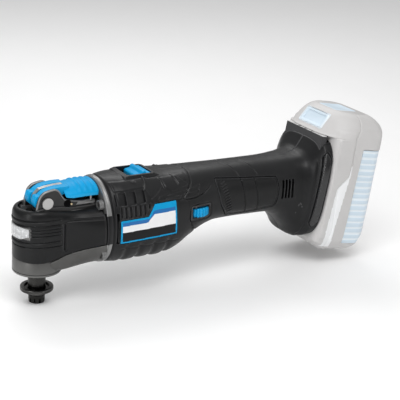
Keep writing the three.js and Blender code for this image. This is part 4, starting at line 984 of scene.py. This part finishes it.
def build_foot_back():
    """Rear face of the foot with the channel that the pack's rail slides in."""
    deepest = -40.3
    level = 43.0
    neck = 22.3
    shoulder = 26.3
    inset = 0.985
    rim = oval(body_at(FOOT_REAR), 200, FOOT_REAR)
    face = [(y * inset, (z - PIVOT_Z) * math.hypot(1, FOOT_SLOPE) * inset) for _, y, z in rim]
    outer = [(y, up) for y, up in face if up <= level - 0.4 or abs(y) >= neck]
    ring = [(-neck, level), (-neck, deepest), (neck, deepest), (neck, level)]
    ring += sorted(outer, key=clock_angle)
    plate = mesh_object("foot_face", [face_point(y, up, 0.0) for y, up in ring], [tuple(range(len(ring)))],
                        [charcoal], smooth=False)
    walls = []
    for half, out in ((neck, 0.0), (neck, -3.7), (shoulder, -3.7), (shoulder, -8.5)):
        walls.append([face_point(-half, level, out), face_point(-half, deepest, out),
                      face_point(half, deepest, out), face_point(half, level, out)])
    channel = skin("foot_channel", np.array(walls), [charcoal], wraps=False, angle=30)
    floor = mesh_object("foot_channel_floor", walls[-1], [(0, 1, 2, 3)], [charcoal], smooth=False)
    whole = joined("foot_rear_face", [plate, channel, floor])
    place(whole, "tool", "charcoal_plastic")


build_body()
build_pads()
build_switch()
build_dial()
build_foot_back()

# ------------------------------------------------------------------ head

HEAD_RADIUS = 19.6
BOSS_RADIUS = 19.25
# X, half width, bottom, top, height of the widest line, squareness
NECK = np.array([
    (0, 19.6, 20, 70.6, 45, 8.6), (12, 20, 19.2, 68.8, 45, 8), (24, 22.6, 19.8, 67.8, 46, 5),
    (36, 26.6, 21, 68.5, 47, 3.6), (46.2, 29.6, 21, 70, 48, 3)])


def neck_at(x):
    """The neck's section values at x; the front arc keeps those of its start."""
    return [smooth_curve(NECK[:, 0], NECK[:, k], x) for k in range(1, 6)]


SLEEVE_LOW = ([-20, -10, 0, 8, 16, 26, 35, 45.8], [28.9, 28.1, 28.6, 30.4, 33.6, 36.4, 38.4, 40.2])
DECK_HALF = 15.0
SLEEVE_REAR = 44.4


def sleeve_relief(x, z):
    """Grooves round the sleeve, its upright ridge and its smooth side panel."""
    height = np.zeros(x.shape)
    around = ease((12.4 - x) / 1.2)
    for at, deep, width in ((62.6, 0.9, 0.6), (58.6, 1.1, 0.6), (55.4, 0.8, 0.4), (52.9, 0.8, 0.4),
                            (50.4, 0.8, 0.4), (45.2, 1.1, 0.6), (41.4, 1.0, 0.5)):
        height -= deep * np.exp(-((z - at) / width) ** 2) * around
    height -= 0.45 * ease((58.4 - z) / 0.8) * ease((z - 45.6) / 0.8) * around
    height -= 0.3 * ease((41.2 - z) / 0.8) * around
    ridge = np.exp(-((x - 12.9) / 0.75) ** 2) * ease((z - 36.5) / 1.5) * ease((59.5 - z) / 1.5)
    height += 0.8 * ridge
    height -= 0.9 * np.exp(-((x - 15) / 0.8) ** 2) * ease((z - 36.5) / 1.5) * ease((59.5 - z) / 1.5)
    panel_top = 60.6 + 0.02 * (x - 14)
    height -= 0.7 * np.exp(-((z - panel_top) / 0.6) ** 2) * ease((x - 14) / 2)
    height += 0.26 * np.exp(-((z - panel_top - 1.7) / 0.8) ** 2)
    return height


def build_sleeve():
    """Black soft sleeve round the head."""
    sides = np.linspace(SLEEVE_REAR, 0, 110, endpoint=False)
    angles = np.linspace(math.pi / 2, 3 * math.pi / 2, 180)
    rows = 190
    columns = []
    # plan of the head from the right collar round the front to the left collar
    positions = [(x, None, 1) for x in sides]
    positions += [(0.0, angle, 0) for angle in angles]
    positions += [(x, None, -1) for x in sides[::-1]]
    for x, angle, side in positions:
        half, bottom, top, wide, power = neck_at(x)
        plan_x = x if angle is None else HEAD_RADIUS * math.cos(angle)
        low = smooth_curve(*SLEEVE_LOW, plan_x)
        sweep = np.linspace(-0.95, math.pi / 2, 1500)
        tall = np.where(sweep >= 0, top - wide, wide - bottom)
        width = half * np.cos(sweep) ** (2 / power)
        z = wide + tall * np.sign(np.sin(sweep)) * np.abs(np.sin(sweep)) ** (2 / power)
        use = (z >= low) & (width >= DECK_HALF)
        width = width[use]
        z = z[use]
        run = np.concatenate([[0], np.cumsum(np.hypot(np.diff(width), np.diff(z)))])
        at = np.linspace(0, run[-1], rows)
        width = np.interp(at, run, width)
        z = np.interp(at, run, z)
        if angle is None:
            column = np.column_stack([np.full(rows, x), side * width, z])
        else:
            column = np.column_stack([width * math.cos(angle), width * math.sin(angle), z])
        columns.append(column)
    base = np.array(columns)
    x = base[..., 0]
    normals = sleeve_normals(base)
    relief = sleeve_relief(x, base[..., 2])
    edge = np.minimum(np.arange(rows), np.arange(rows)[::-1])[None, :]
    relief = relief - 0.45 * ease(1 - edge / 3.5)
    points = base + normals * relief[..., None]
    centre = face_centres(points, False)
    lens_room = (centre[..., 0] < -11) & (np.abs(centre[..., 1]) < 14.7) & (centre[..., 2] > 47.2)
    lens_room &= centre[..., 2] < 57.3
    sleeve = skin("head_boot", points, [black_rubber], wraps=False, keep=~lens_room, angle=55)
    score = sum((f.normal.dot(Vector((min(f.center.x, 0), f.center.y, 0))) for f in sleeve.data.polygons),
                0.0)
    if score < 0:
        sleeve.data.flip_normals()
    thickened(sleeve, SLEEVE_WALL)
    place(sleeve, "tool", "black_rubber", "head_sleeve")


def sleeve_normals(base):
    """Normals of the sleeve, away from the head's middle."""
    along = np.gradient(base, axis=0)
    up = np.gradient(base, axis=1)
    normals = np.cross(along, up)
    size = np.linalg.norm(normals, axis=2, keepdims=True)
    normals /= np.where(size > 1e-9, size, 1)
    away = np.stack([np.minimum(base[..., 0], 0), base[..., 1], np.zeros(base.shape[:2])], axis=2)
    sign = np.sign(np.sum(normals * away, axis=2, keepdims=True))
    return normals * np.where(sign == 0, 1, sign)


def build_lens():
    """Frosted window that wraps round the front of the head."""
    angles = np.linspace(math.radians(180 - 47), math.radians(180 + 47), 90)
    rows = []
    for lift, share in ((-1.3, 1.0), (-0.1, 1.0), (0.2, 0.94), (0.27, 0.86)):
        rows.append((lift, share))
    points = []
    for angle in angles:
        reach = abs(angle - math.pi) / math.radians(47)
        high = 57 - 0.9 * ease((reach - 0.45) / 0.55)
        low = 47.4 + 2.6 * ease((reach - 0.5) / 0.5)
        middle = (high + low) / 2
        half = (high - low) / 2
        column = []
        fade = ease((1 - reach) / 0.08)
        for lift, share in rows + rows[::-1]:
            column.append((lift if lift < 0 else lift * fade, share))
        for i, (lift, share) in enumerate(column):
            sign = -1 if i < len(rows) else 1
            radius = HEAD_RADIUS + lift
            points.append((radius * math.cos(angle), radius * math.sin(angle),
                           middle + sign * half * share))
    grid = np.array(points).reshape(len(angles), 2 * len(rows), 3)
    glass = skin("led_window", grid, [lens], wraps=True, caps=(True, True), angle=40)
    place(glass, "tool", "clear_lens", "led_lens")


def build_casting():
    """Bare metal of the head: boss, neck, deck, lugs and collar."""
    boss = turned("boss", [(9.2, 17), (16.4, 16.9), (17.2, 16.8), (18.4, 16.8), (18.9, 17),
                           (BOSS_RADIUS, 17.5), (BOSS_RADIUS, 18.6), (BOSS_RADIUS - 0.35, 18.8),
                           (BOSS_RADIUS - 0.35, 19.1), (BOSS_RADIUS, 19.4), (BOSS_RADIUS, 28), (18.6, 30),
                           (18, 64), (15, 65), (9.2, 65), (9.2, 20), (9.2, 17)], cast_metal, 160)
    rows = []
    for x in np.linspace(0, 46.4, 60):
        half, bottom, top, wide, power = neck_at(x)
        section = oval([half - 1.3, bottom + 0.1, min(top, 67) + 1, wide, power, 0], 160, x)
        section[:, 2] = np.minimum(section[:, 2], 65)
        rows.append(section)
    neck = skin("neck", np.array(rows), [dark_cast], caps=(True, True), angle=35)
    lower = []
    for x in np.linspace(2, 46.4, 60):
        half, bottom, top, wide, power = neck_at(x)
        low = smooth_curve(*SLEEVE_LOW, x)
        section = oval([half - 0.35, bottom, top, wide, power, 0], 200, x)
        section[:, 2] = np.minimum(section[:, 2], low - 0.5)
        lower.append(section)
    belly = skin("belly", np.array(lower), [cast_metal], caps=(True, True), angle=35)
    deck_outline = [(-9.5, -14.6), (44.4, -14.8), (45.8, -16), (45.8, 16), (44.4, 14.8), (-9.5, 14.6),
                    (-9.5, 10), (18, 10), (18, -10), (-9.5, -10)]
    deck = pushed("deck", "xy", deck_outline, 64, 67, dark_cast, 0.3)
    pieces = [boss, neck, belly, deck]
    lug = rounded([(-7.2, 66), (-6.2, 73), (-3.9, 80.5), (-0.2, 83.9), (5.2, 85), (9.3, 85.4), (12.5, 83.7),
                   (15.4, 78.8), (17.8, 75.8), (25, 74.4), (31, 73.4), (43.6, 73.4), (43.6, 66)], 2.6)
    for side in (-1, 1):
        low, high = sorted((9.9 * side, 12.7 * side))
        cheek = pushed("lug", "xz", lug, low, high, dark_cast, 1.1, 4)
        # painted highlight: the lugs' rounded edges take the lighter collar metal, as a light rim along the
        # lug outline
        cheek.data.materials.append(collar_metal)
        cheek.modifiers["rounding"].material = 1
        pieces.append(cheek)
        low, high = sorted((12.3 * side, 14.4 * side))
        skirt = rounded([(-7.6, 66), (-6.4, 70.6), (2, 71.6), (14, 70.8), (22, 69.4), (44.6, 69.2),
                         (44.6, 66)], 1.2)
        pieces.append(pushed("lug_foot", "xz", skirt, low, high, dark_cast, 0.6))
        low, high = sorted((12.4 * side, 13.1 * side))
        rail = rounded([(26.4, 70.6), (28.6, 73.2), (42.6, 73), (42.6, 70.4)], 0.6)
        pieces.append(pushed("rail", "xz", rail, low, high, collar_metal, 0.25))
        # hole in the lug in the near-black recess material: painted shade inside the hole
        hole = turned("lug_hole", [(0, 0), (1.9, 0), (2.2, 0.25), (2.9, 0.3), (3.1, 0)], recess_painted_shade, 32)
        turn = Matrix.Rotation(math.radians(90 * -side), 4, "X")
        pieces.append(moved(hole, (19.4, 12.75 * side, 72.6), turn))
        dot = turned("lug_dot", [(0, 0.5), (0.7, 0.45), (0.95, 0.1), (0.95, -0.3)], brass, 24)
        pieces.append(moved(dot, (22.6, 12.8 * side, 71.8), turn))
        tab = [(x, y * side) for x, y in ((38.4, 12), (39.6, 12), (39.6, 13.6), (38.4, 13.6))]
        pieces.append(pushed("tab", "xy", tab, 73, 77, collar_metal, 0.25))
        for screw_y, screw_z, front in ((19.8, 70.2, 42.4), (24.6, 30.4, 43.4)):
            rim = turned("screw_rim", [(2.2, 0.4), (3.7, 0.5), (4.1, 0), (4.1, -3), (2.2, -3),
                                       (2.2, 0.4)], dark_cast, 32)
            head = turned("screw_head", [(0, -0.4), (1.1, -0.4), (1.1, 0.2), (1.9, 0.2), (2.1, -0.1),
                                         (2.1, -3)], satin_steel, 24)
            forwards = Matrix.Rotation(math.radians(-90), 4, "Y")
            for fixing in (rim, head):
                pieces.append(moved(fixing, (front, screw_y * side, screw_z), forwards))
    pieces.append(build_collar())
    whole = joined("head_casting", pieces)
    place(whole, "tool", "cast_metal", "gear_housing")


def build_spindle():
    """Output spindle with the tool flange on it, and the toothed clamp jaws under the flange."""
    shaft = turned("shaft", [(4.9, 3.5), (6.6, 3.5), (7, 3.9), (7, 14.2), (6.8, 14.4), (6.8, 14.8),
                             (7, 15), (7, 36), (4.9, 36), (4.9, 3.5)], dark_steel, 96)
    flange = turned("flange", [(4.5, -3.3), (6.9, -3.3), (7.2, -3), (7.2, -0.3), (7.5, 0), (12.5, 0),
                               (12.9, 0.15), (13.1, 0.6), (13.1, 1.2), (12.9, 1.4), (12.9, 1.8),
                               (13.1, 2), (13.1, 2.6), (12.9, 3), (12.5, 3.2), (10.1, 3.2), (9.8, 2.9),
                               (9.8, 1.5), (7.3, 1.5), (7.3, 3.2), (4.5, 3.2), (4.5, -3.3)], flange_steel,
                    128)
    place(shaft, "spindle_unit", "steel", "spindle")
    place(flange, "spindle_unit", "steel", "tool_flange")
    teeth = 10
    steps = 16
    count = teeth * steps
    angles = np.linspace(0, 2 * math.pi, count, endpoint=False)
    gap = (np.abs((np.arange(count) % steps) - steps / 2 + 0.5) < 2) * 1.0
    rings = []
    for z, radius, cut in ((-10.2, 4.2, 0), (-10.2, 5.9, 0), (-9.9, 6.3, 1.0), (-7.2, 6.5, 1.0),
                           (-6.9, 6.5, 0.4), (-5.6, 6.6, 0.0), (-4.5, 6.7, 0.0), (-4, 6.7, 0.0),
                           (-3.7, 6.4, 0.0), (-3.7, 4.2, 0)):
        reach = radius - 1.5 * cut * gap
        rings.append(np.column_stack([reach * np.cos(angles), reach * np.sin(angles), np.full(count, z)]))
    rings.append(rings[0])
    jaws = skin("jaws", np.array(rings), [dark_steel], angle=30)
    place(jaws, "clamp", "steel", "clamp_jaws")


def build_collar():
    """Satin collar band between head and body."""
    rings = []
    shape = (31.3, 17.2, 87.2, 49, 2.1, 0)
    for x, shrink in ((45.9, 9), (45.9, 1.6), (46.05, 0.9), (46.4, 0.5), (46.7, 0.75), (47, 0.55),
                      (47.6, 0.2), (49.4, 0), (50.1, 0.25), (50.4, 0.9), (50.4, 4)):
        half, bottom, top, wide, power, lean = shape
        rings.append(oval([half - shrink, bottom + shrink, top - shrink, wide, power, lean], 260, x))
    points = np.array(rings)
    z = face_centres(points)[..., 2]
    behind = np.arange(len(rings) - 1)[:, None] > 6
    side = (z > 40) & (z < 63.4)
    pick = np.where((behind & (z > 50)) | side, 1, 0)
    return skin("collar", points, [collar_metal, black_rubber], pick=pick, angle=28)


def wave(x):
    """Soft ridges across the lever's thumb plate."""
    phase = (x - 27.5) / 4.9
    inside = ease((x - 25.4) / 1.6) * ease((45.2 - x) / 1.4)
    return 0.85 * inside * (0.5 - 0.5 * np.cos(2 * math.pi * phase)) ** 1.6


def build_lever():
    """Blue clamp lever: arched thumb plate and the cam nose between the lugs."""
    loops = []
    for x in np.linspace(17.4, 45.4, 84):
        half = smooth_curve([17.4, 20, 24, 34, 45.4], [12.2, 13.6, 14.6, 15, 14.8], x)
        top = smooth_curve([17.4, 22, 34, 45.4], [84.4, 85.3, 86.1, 85.7], x)
        end = ease((x - 17.4) / 1.1) * ease(45.4 - x)
        thick = 0.9 + 2.4 * end
        ridge = wave(x)
        half = half - 0.9 * (1 - end)
        y = half * np.sin(np.linspace(-math.pi / 2, math.pi / 2, 49))
        share = np.abs(y / 15)
        arch = top - 0.35 * (1 - end) - 5.6 * share ** 2.5
        over = arch + ridge * (1 - share ** 6) - 0.9 * (np.abs(y) / half) ** 14
        under = arch - thick - 0.6 * (1 - (np.abs(y) / half) ** 8)
        upper = np.column_stack([np.full(49, x), y, over])
        lower = np.column_stack([np.full(47, x), y[::-1][1:-1], under[::-1][1:-1]])
        loops.append(np.vstack([upper, lower]))
    plate = skin("thumb_plate", np.array(loops), [azure], caps=(True, True), angle=50)
    nose = []
    for step in range(41):
        angle = -math.pi * (0.3 + (step / 40) * 0.9)
        grow = ease((-angle - math.pi / 2) / (math.pi * 0.45))
        radius = 6.3 + 2.6 * grow
        nose.append((2.2 + radius * math.cos(angle), 75 + radius * math.sin(angle)))
    nose += [(-2.2, 80.2), (0.2, 82.2), (3.6, 83.8), (8, 84.8), (14, 85.3), (22, 85.2), (22, 80.4),
             (18.6, 79.6), (13, 76.5)]
    pieces = [plate]
    for side in (-1, 1):
        low, high = sorted((2.4 * side, 9.4 * side))
        pieces.append(pushed("cheek", "xz", nose, low, high, azure, 0.5))
    lever = joined("lever_moulding", pieces)
    place(lever, "lever", "blue_plastic", "clamp_lever")


build_sleeve()
build_lens()
build_casting()
build_spindle()
build_lever()

# ------------------------------------------------------------------ battery pack


def pack_front(up):
    """How far out of the foot's face the pack's front lies."""
    return smooth_curve([-56, -50, -47, 43.5, 43.9, 46, 53, 61, 64.4],
                        [12, 6, 0.45, 0.45, -7.2, -5.9, -2.2, 2.6, 8], up)


def pack_rear(up):
    """How far out of the foot's face the pack's rear lies."""
    return smooth_curve([-56, -54, -50, -44, -38, 6, 50, 55.8, 60, 62.8, 64.4],
                        [40, 46.6, 50.6, 53.2, 54, 53.4, 52.05, 50.1, 46.4, 42, 36], up)


def pack_half(up):
    """Half width of the pack."""
    return smooth_curve([-56, -54, -50, -44, -36, 44, 52, 58, 61.5, 63.6, 64.4],
                        [27, 31, 34.4, 36.2, 36.6, 36.6, 35.8, 33, 29.4, 24.6, 19], up)


PACK_SEAM = [(-60, 10.5), (-37, 15.2), (1, 11.6), (12, 21.2), (25, 21.4), (44, 19.4), (52, 22.6), (70, 24)]
PANEL = rounded([(-48, 29.6), (36, 30.2), (36, 51.4), (-48, 51.6)], 1.2)
SWOOSH = [(-52, 8.8), (-52, 17.4), (-37, 17), (11.8, 21.8), (24.5, 22.1), (12.2, 20.2), (0.5, 10.2),
          (-37, 8)]
HUMP_PANEL = rounded([(-44, 3), (50, 3), (50, 19), (24, 20.4), (12, 20), (1.4, 9.8), (-44, 11)], 3)


def pack_section(up, count):
    """One section of the pack across its long axis, as (out, y) points evenly spaced."""
    front = pack_front(up)
    rear = pack_rear(up)
    half = pack_half(up)
    head = ease((up - 43.45) / 0.4)
    front_out = 4 + 17 * head
    front_across = 6 + 20 * head
    rear_round = 10
    depth = rear - front
    front_out = min(front_out, depth * 0.45)
    rear_round = min(rear_round, depth * 0.45)
    front_across = min(front_across, half * 0.9)
    rear_across = min(10, half * 0.8)
    line = []
    for k in range(61):
        angle = math.pi / 2 * k / 60
        line.append((front + front_out * (1 - math.cos(angle)),
                     half - front_across * (1 - math.sin(angle))))
    for k in range(61):
        angle = math.pi / 2 * k / 60
        line.append((rear - rear_round * (1 - math.sin(angle)), half - rear_across * (1 - math.cos(angle))))
    line = [(front, 0.0)] + line + [(rear, 0.0)]
    line = np.array(line)
    run = np.concatenate([[0], np.cumsum(np.hypot(*np.diff(line, axis=0).T))])
    at = np.linspace(0, run[-1], count // 2 + 1)
    out = np.interp(at, run, line[:, 0])
    y = np.interp(at, run, line[:, 1])
    return np.concatenate([np.column_stack([out, y]), np.column_stack([out, -y])[-2:0:-1]])


def pack_relief(up, out, y):
    """Moulded detail on the pack."""
    flank = ease((np.abs(y) - 24) / 5)
    height = np.zeros(up.shape)
    seam = line_distance(up, out, PACK_SEAM)
    height -= 0.6 * np.exp(-(seam / 0.5) ** 2)
    height += flank * 0.8 * inside_ramp(outline_distance(up, out, HUMP_PANEL), 3.2)
    height -= flank * 1.25 * inside_ramp(outline_distance(up, out, PANEL) - 0.3, 0.5)
    return height


def pack_point(out, y, up):
    """Points from distances out of the foot's face, across it and up it."""
    return FACE_AT + out[..., None] * FACE_OUT + up[..., None] * FACE_UP + y[...,
        None] * np.array([0, 1.0, 0])


def build_pack():
    """The two pale shells of the pack."""
    levels = np.concatenate([np.linspace(-55.6, -44, 36), np.linspace(-43.6, 43.3, 190),
                             np.linspace(43.5, 44, 8), np.linspace(44.2, 56, 50),
                             np.linspace(56.2, 63.83, 40)])
    count = 380
    sections = np.array([pack_section(up, count) for up in levels])
    out = sections[..., 0]
    y = sections[..., 1]
    up = np.repeat(levels[:, None], count, axis=1)
    base = pack_point(out, y, up)
    points = base + grid_normals(base) * pack_relief(up, out, y)[..., None]
    out_c = face_centres(out)
    y_c = face_centres(y)
    up_c = face_centres(up)
    seam_out = smooth_curve([p[0] for p in PACK_SEAM], [p[1] for p in PACK_SEAM], up_c)
    front = out_c < seam_out
    slope = (up_c - 54.02) * 0.8512 + (out_c + 1.32) * 0.5247
    button = (np.abs(y_c) < 15.9) & (np.abs(slope) < 7.4) & (out_c < 8)
    swoosh = (outline_distance(up_c, out_c, SWOOSH) < 0) & (np.abs(y_c) > 28)
    pick = np.where(swoosh, 1, 0)
    looks = [pale_grey, pack_white]
    for name, keep, node in (("pack_front_cover", front & ~button, "battery_front_shell"),
                             ("pack_rear_cover", ~front, "battery_rear_shell")):
        piece = skin(name, points, looks, keep=keep, pick=pick, angle=55)
        pack_outwards(piece)
        pieces = [piece]
        ends = points[0] if node == "battery_rear_shell" else None
        if ends is not None:
            for row in (0, -1):
                ring = points[row]
                cap = mesh_object("pack_end", ring, [tuple(range(len(ring)))], [pale_grey], smooth=False)
                pieces.append(cap)
        else:
            pieces.append(build_rail())
        place(joined(name + "_shell", pieces), "battery", "pale_grey_plastic", node)


def pack_outwards(piece):
    """Makes a pack shell face away from the pack's middle."""
    middle = Vector(face_point(0, 5, 26)) * MM
    score = sum((f.normal.dot(f.center - middle) * f.area for f in piece.data.polygons), 0.0)
    if score < 0:
        piece.data.flip_normals()


def build_rail():
    """T-shaped rail on the pack's front, with contact slots."""
    neck = 22
    wing = 26
    front = -8.2
    shape = [(-neck, 1.5), (-neck, -4), (-wing, -4), (-wing, front)]
    for y in (-9, 0, 9):
        shape += [(y - 1.2, front), (y - 1.2, -2), (y + 1.2, -2), (y + 1.2, front)]
    shape += [(wing, front), (wing, -4), (neck, -4), (neck, 1.5)]
    rows = []
    for up in (-25.8, 43.4):
        rows.append([face_point(y, up, out) for y, out in shape])
    return skin("rail", np.array(rows), [pale_grey], caps=(True, True), angle=30)


def side_of_pack(a, b, side, height):
    """Points on the pack's flank at (up, out), lifted outwards."""
    half = pack_half(a)
    rear = pack_rear(a)
    into = np.clip(b - (rear - 10), 0, 9.99)
    y = half - 10 * (1 - np.sqrt(1 - (into / 10) ** 2))
    tilt = np.clip(into / 10, 0, 1)
    normal_y = np.sqrt(1 - tilt ** 2)
    return pack_point(b + height * tilt, side * (y + height * normal_y), a)


def build_vent_panels():
    """Pale-blue ribbed panels on the pack's flanks."""
    for word, side in (("left", -1), ("right", 1)):
        cell = 0.42
        low = PANEL.min(0)
        high = PANEL.max(0)
        a, b = np.meshgrid(np.arange(low[0], high[0], cell), np.arange(low[1], high[1] + 0.2, cell))
        a, b = snapped(a, b, PANEL, cell)
        edge = outline_distance(a, b, PANEL)
        phase = 0.5 + 0.5 * np.cos(2 * math.pi * a / 5.2)
        ribs = 0.45 * phase ** 0.5 - 0.65
        height = ribs * np.clip(-edge / 0.8, 0, 1) - 0.3
        points = side_of_pack(a, b, side, height)
        keep = outline_distance(face_centres(a, False), face_centres(b, False), PANEL) < 0
        pick = np.where(face_centres(phase, False) < 0.3, 1, 0)
        piece = skin(f"pack_vent_panel_{word}", points, [pale_blue, pale_frame], wraps=False, keep=keep,
                     pick=pick, angle=60)
        face_out(piece, Vector((0, side, 0)))
        thickened(piece, 0.6)
        place(piece, "battery", "pale_blue_plastic", f"battery_panel_{word}")


BUTTON_AT = np.array([257.2, 0, 113.5])
SLOPE_UP = np.array([13.8, 0, 15.8]) / math.hypot(13.8, 15.8)
SLOPE_IN = np.array([SLOPE_UP[2], 0, -SLOPE_UP[0]])


def slope_point(y, up, deep):
    """Point in the frame of the pack's sloping front top."""
    return BUTTON_AT + np.array([0, 1, 0]) * y + SLOPE_UP * up + SLOPE_IN * deep


def build_button():
    """Release button with its lighter frame and sunken middle."""
    rings = []
    for half, tall, deep, radius in ((15.3, 6.9, 3, 2), (15.3, 6.9, 0.5, 2), (14.9, 6.5, 0.1, 1.9),
                                     (13.4, 5.4, 0.0, 1.6), (12.7, 4.9, 0.25, 1.4), (12.2, 4.4, 1.0, 1.2),
                                     (11.6, 3.9, 1.15, 1.1)):
        outline = ring_of(-tall, tall, half, radius, 6)
        rings.append([slope_point(y, up, deep) for up, y in outline])
    points = np.array(rings)
    pick = np.zeros((len(rings) - 1, points.shape[1]), int)
    pick[:2] = 1
    piece = skin("pack_release", points, [pale_blue, pale_frame], pick=pick, caps=(True, True), angle=35)
    place(piece, "release", "pale_blue_plastic", "release_button")
    rim = []
    for half, tall, deep in ((15.55, 7.15, 4), (15.55, 7.15, 0.2), (15.9, 7.4, -0.1), (16.5, 7.9, 0.45),
                             (16.7, 8.1, 1.8)):
        outline = ring_of(-tall, tall, half, 2.2, 6)
        rim.append([slope_point(y, up, deep) for up, y in outline])
    surround = skin("pack_release_surround", np.array(rim), [pale_frame], angle=35)
    place(surround, "battery", "pale_grey_plastic")


def build_top_plate():
    """Pale-blue plate let into the top of the pack."""
    rings = []
    for shrink, up in ((0, 63.2), (0, 63.85), (0.4, 64.05), (1.6, 64.05), (1.9, 63.9)):
        outline = ring_of(10 + shrink, 33 - shrink, 12.5 - shrink, 2.2, 8)
        out, y = outline.T
        rings.append(pack_point(out, y, np.full(len(out), up)))
    plate = skin("pack_top_plate", np.array(rings), [pale_blue], caps=(True, True), angle=30)
    place(plate, "battery", "pale_blue_plastic")


build_pack()
build_vent_panels()
build_button()
build_top_plate()

# ------------------------------------------------------------------ room, light and camera


def build_stage():
    """Pale floor, just below the object."""
    floor_z = cad_low.z - 0.0002
    vertices = [(-3, -3, floor_z), (3, -3, floor_z), (3, 3, floor_z), (-3, 3, floor_z)]
    mesh = bpy.data.meshes.new("floor")
    mesh.from_pydata(vertices, [], [(0, 1, 2, 3)])
    floor = bpy.data.objects.new("floor", mesh)
    bpy.context.scene.collection.objects.link(floor)
    n = Nodes("floor_look")
    n.link(n.mixed(n.span(n.noise(2, 2, 0.5), 0.3, 0.7, 0, 1), (0.955, 0.955, 0.955),
                   (0.975, 0.975, 0.975)), n.shader.inputs["Base Color"])
    n.link(n.span(n.noise(30, 2, 0.5), 0.3, 0.7, 0.6, 0.7), n.shader.inputs["Roughness"])
    mesh.materials.append(n.material)


def area_light(name, at, target, width, depth, power):
    """Soft light that faces a point."""
    data = bpy.data.lights.new(name, "AREA")
    data.shape = "RECTANGLE"
    data.size = width
    data.size_y = depth
    data.energy = power
    light = bpy.data.objects.new(name, data)
    light.location = Vector(at)
    light.rotation_euler = (Vector(target) - Vector(at)).to_track_quat("-Z", "Y").to_euler()
    bpy.context.scene.collection.objects.link(light)


def build_lights():
    """Big softbox above, a strip from the left, a low fill and a white room."""
    middle = (0.14, 0, 0.07)
    area_light("key", (-0.1, -0.45, 0.95), middle, 0.7, 0.5, 5)
    area_light("left_strip", (-0.75, -0.35, 0.3), middle, 0.2, 0.7, 2.2)
    area_light("rear_top", (0.3, 0.7, 0.8), middle, 0.9, 0.4, 3.5)
    area_light("right_fill", (0.9, -0.6, 0.35), middle, 0.5, 0.5, 0.8)
    world = bpy.data.worlds.new("room")
    world.use_nodes = True
    tree = world.node_tree
    place_node = tree.nodes.new("ShaderNodeTexCoord")
    split = tree.nodes.new("ShaderNodeSeparateXYZ")
    shade = tree.nodes.new("ShaderNodeMapRange")
    shade.inputs["From Min"].default_value = -0.1
    shade.inputs["From Max"].default_value = 0.85
    shade.inputs["To Min"].default_value = 0.14
    shade.inputs["To Max"].default_value = 0.62
    tree.links.new(place_node.outputs["Generated"], split.inputs["Vector"])
    tree.links.new(split.outputs["Z"], shade.inputs["Value"])
    tree.links.new(shade.outputs["Result"], tree.nodes["Background"].inputs["Strength"])
    tree.nodes["Background"].inputs["Color"].default_value = (1, 1, 1, 1)
    bpy.context.scene.world = world


def build_camera():
    """Camera at the photographed view."""
    azimuth = 0.559787
    elevation = 0.340648
    roll = 0.0529396
    distance = 1.018869
    shift_right = -0.128017
    shift_up = -0.066529
    right = Vector((math.cos(azimuth), -math.sin(azimuth), 0))
    up = Vector((math.sin(azimuth) * math.sin(elevation), math.cos(azimuth) * math.sin(elevation),
                 math.cos(elevation)))
    back = Vector((-math.sin(azimuth) * math.cos(elevation), -math.cos(azimuth) * math.cos(elevation),
                   math.sin(elevation)))
    across = right * math.cos(roll) + up * math.sin(roll)
    upright = up * math.cos(roll) - right * math.sin(roll)
    data = bpy.data.cameras.new("camera")
    data.lens = 117
    data.sensor_width = 36
    data.clip_start = 0.05
    data.clip_end = 20
    camera = bpy.data.objects.new("camera", data)
    centre = -across * shift_right - upright * shift_up + back * distance
    centre = centre + Vector((0, 0, (3.2 + LIFT) * MM))
    turn = Matrix((across, upright, back)).transposed().to_4x4()
    camera.matrix_world = Matrix.Translation(centre) @ turn
    bpy.context.scene.collection.objects.link(camera)
    bpy.context.scene.camera = camera


build_stage()
build_lights()
build_camera()
bpy.context.scene.view_settings.view_transform = "Standard"
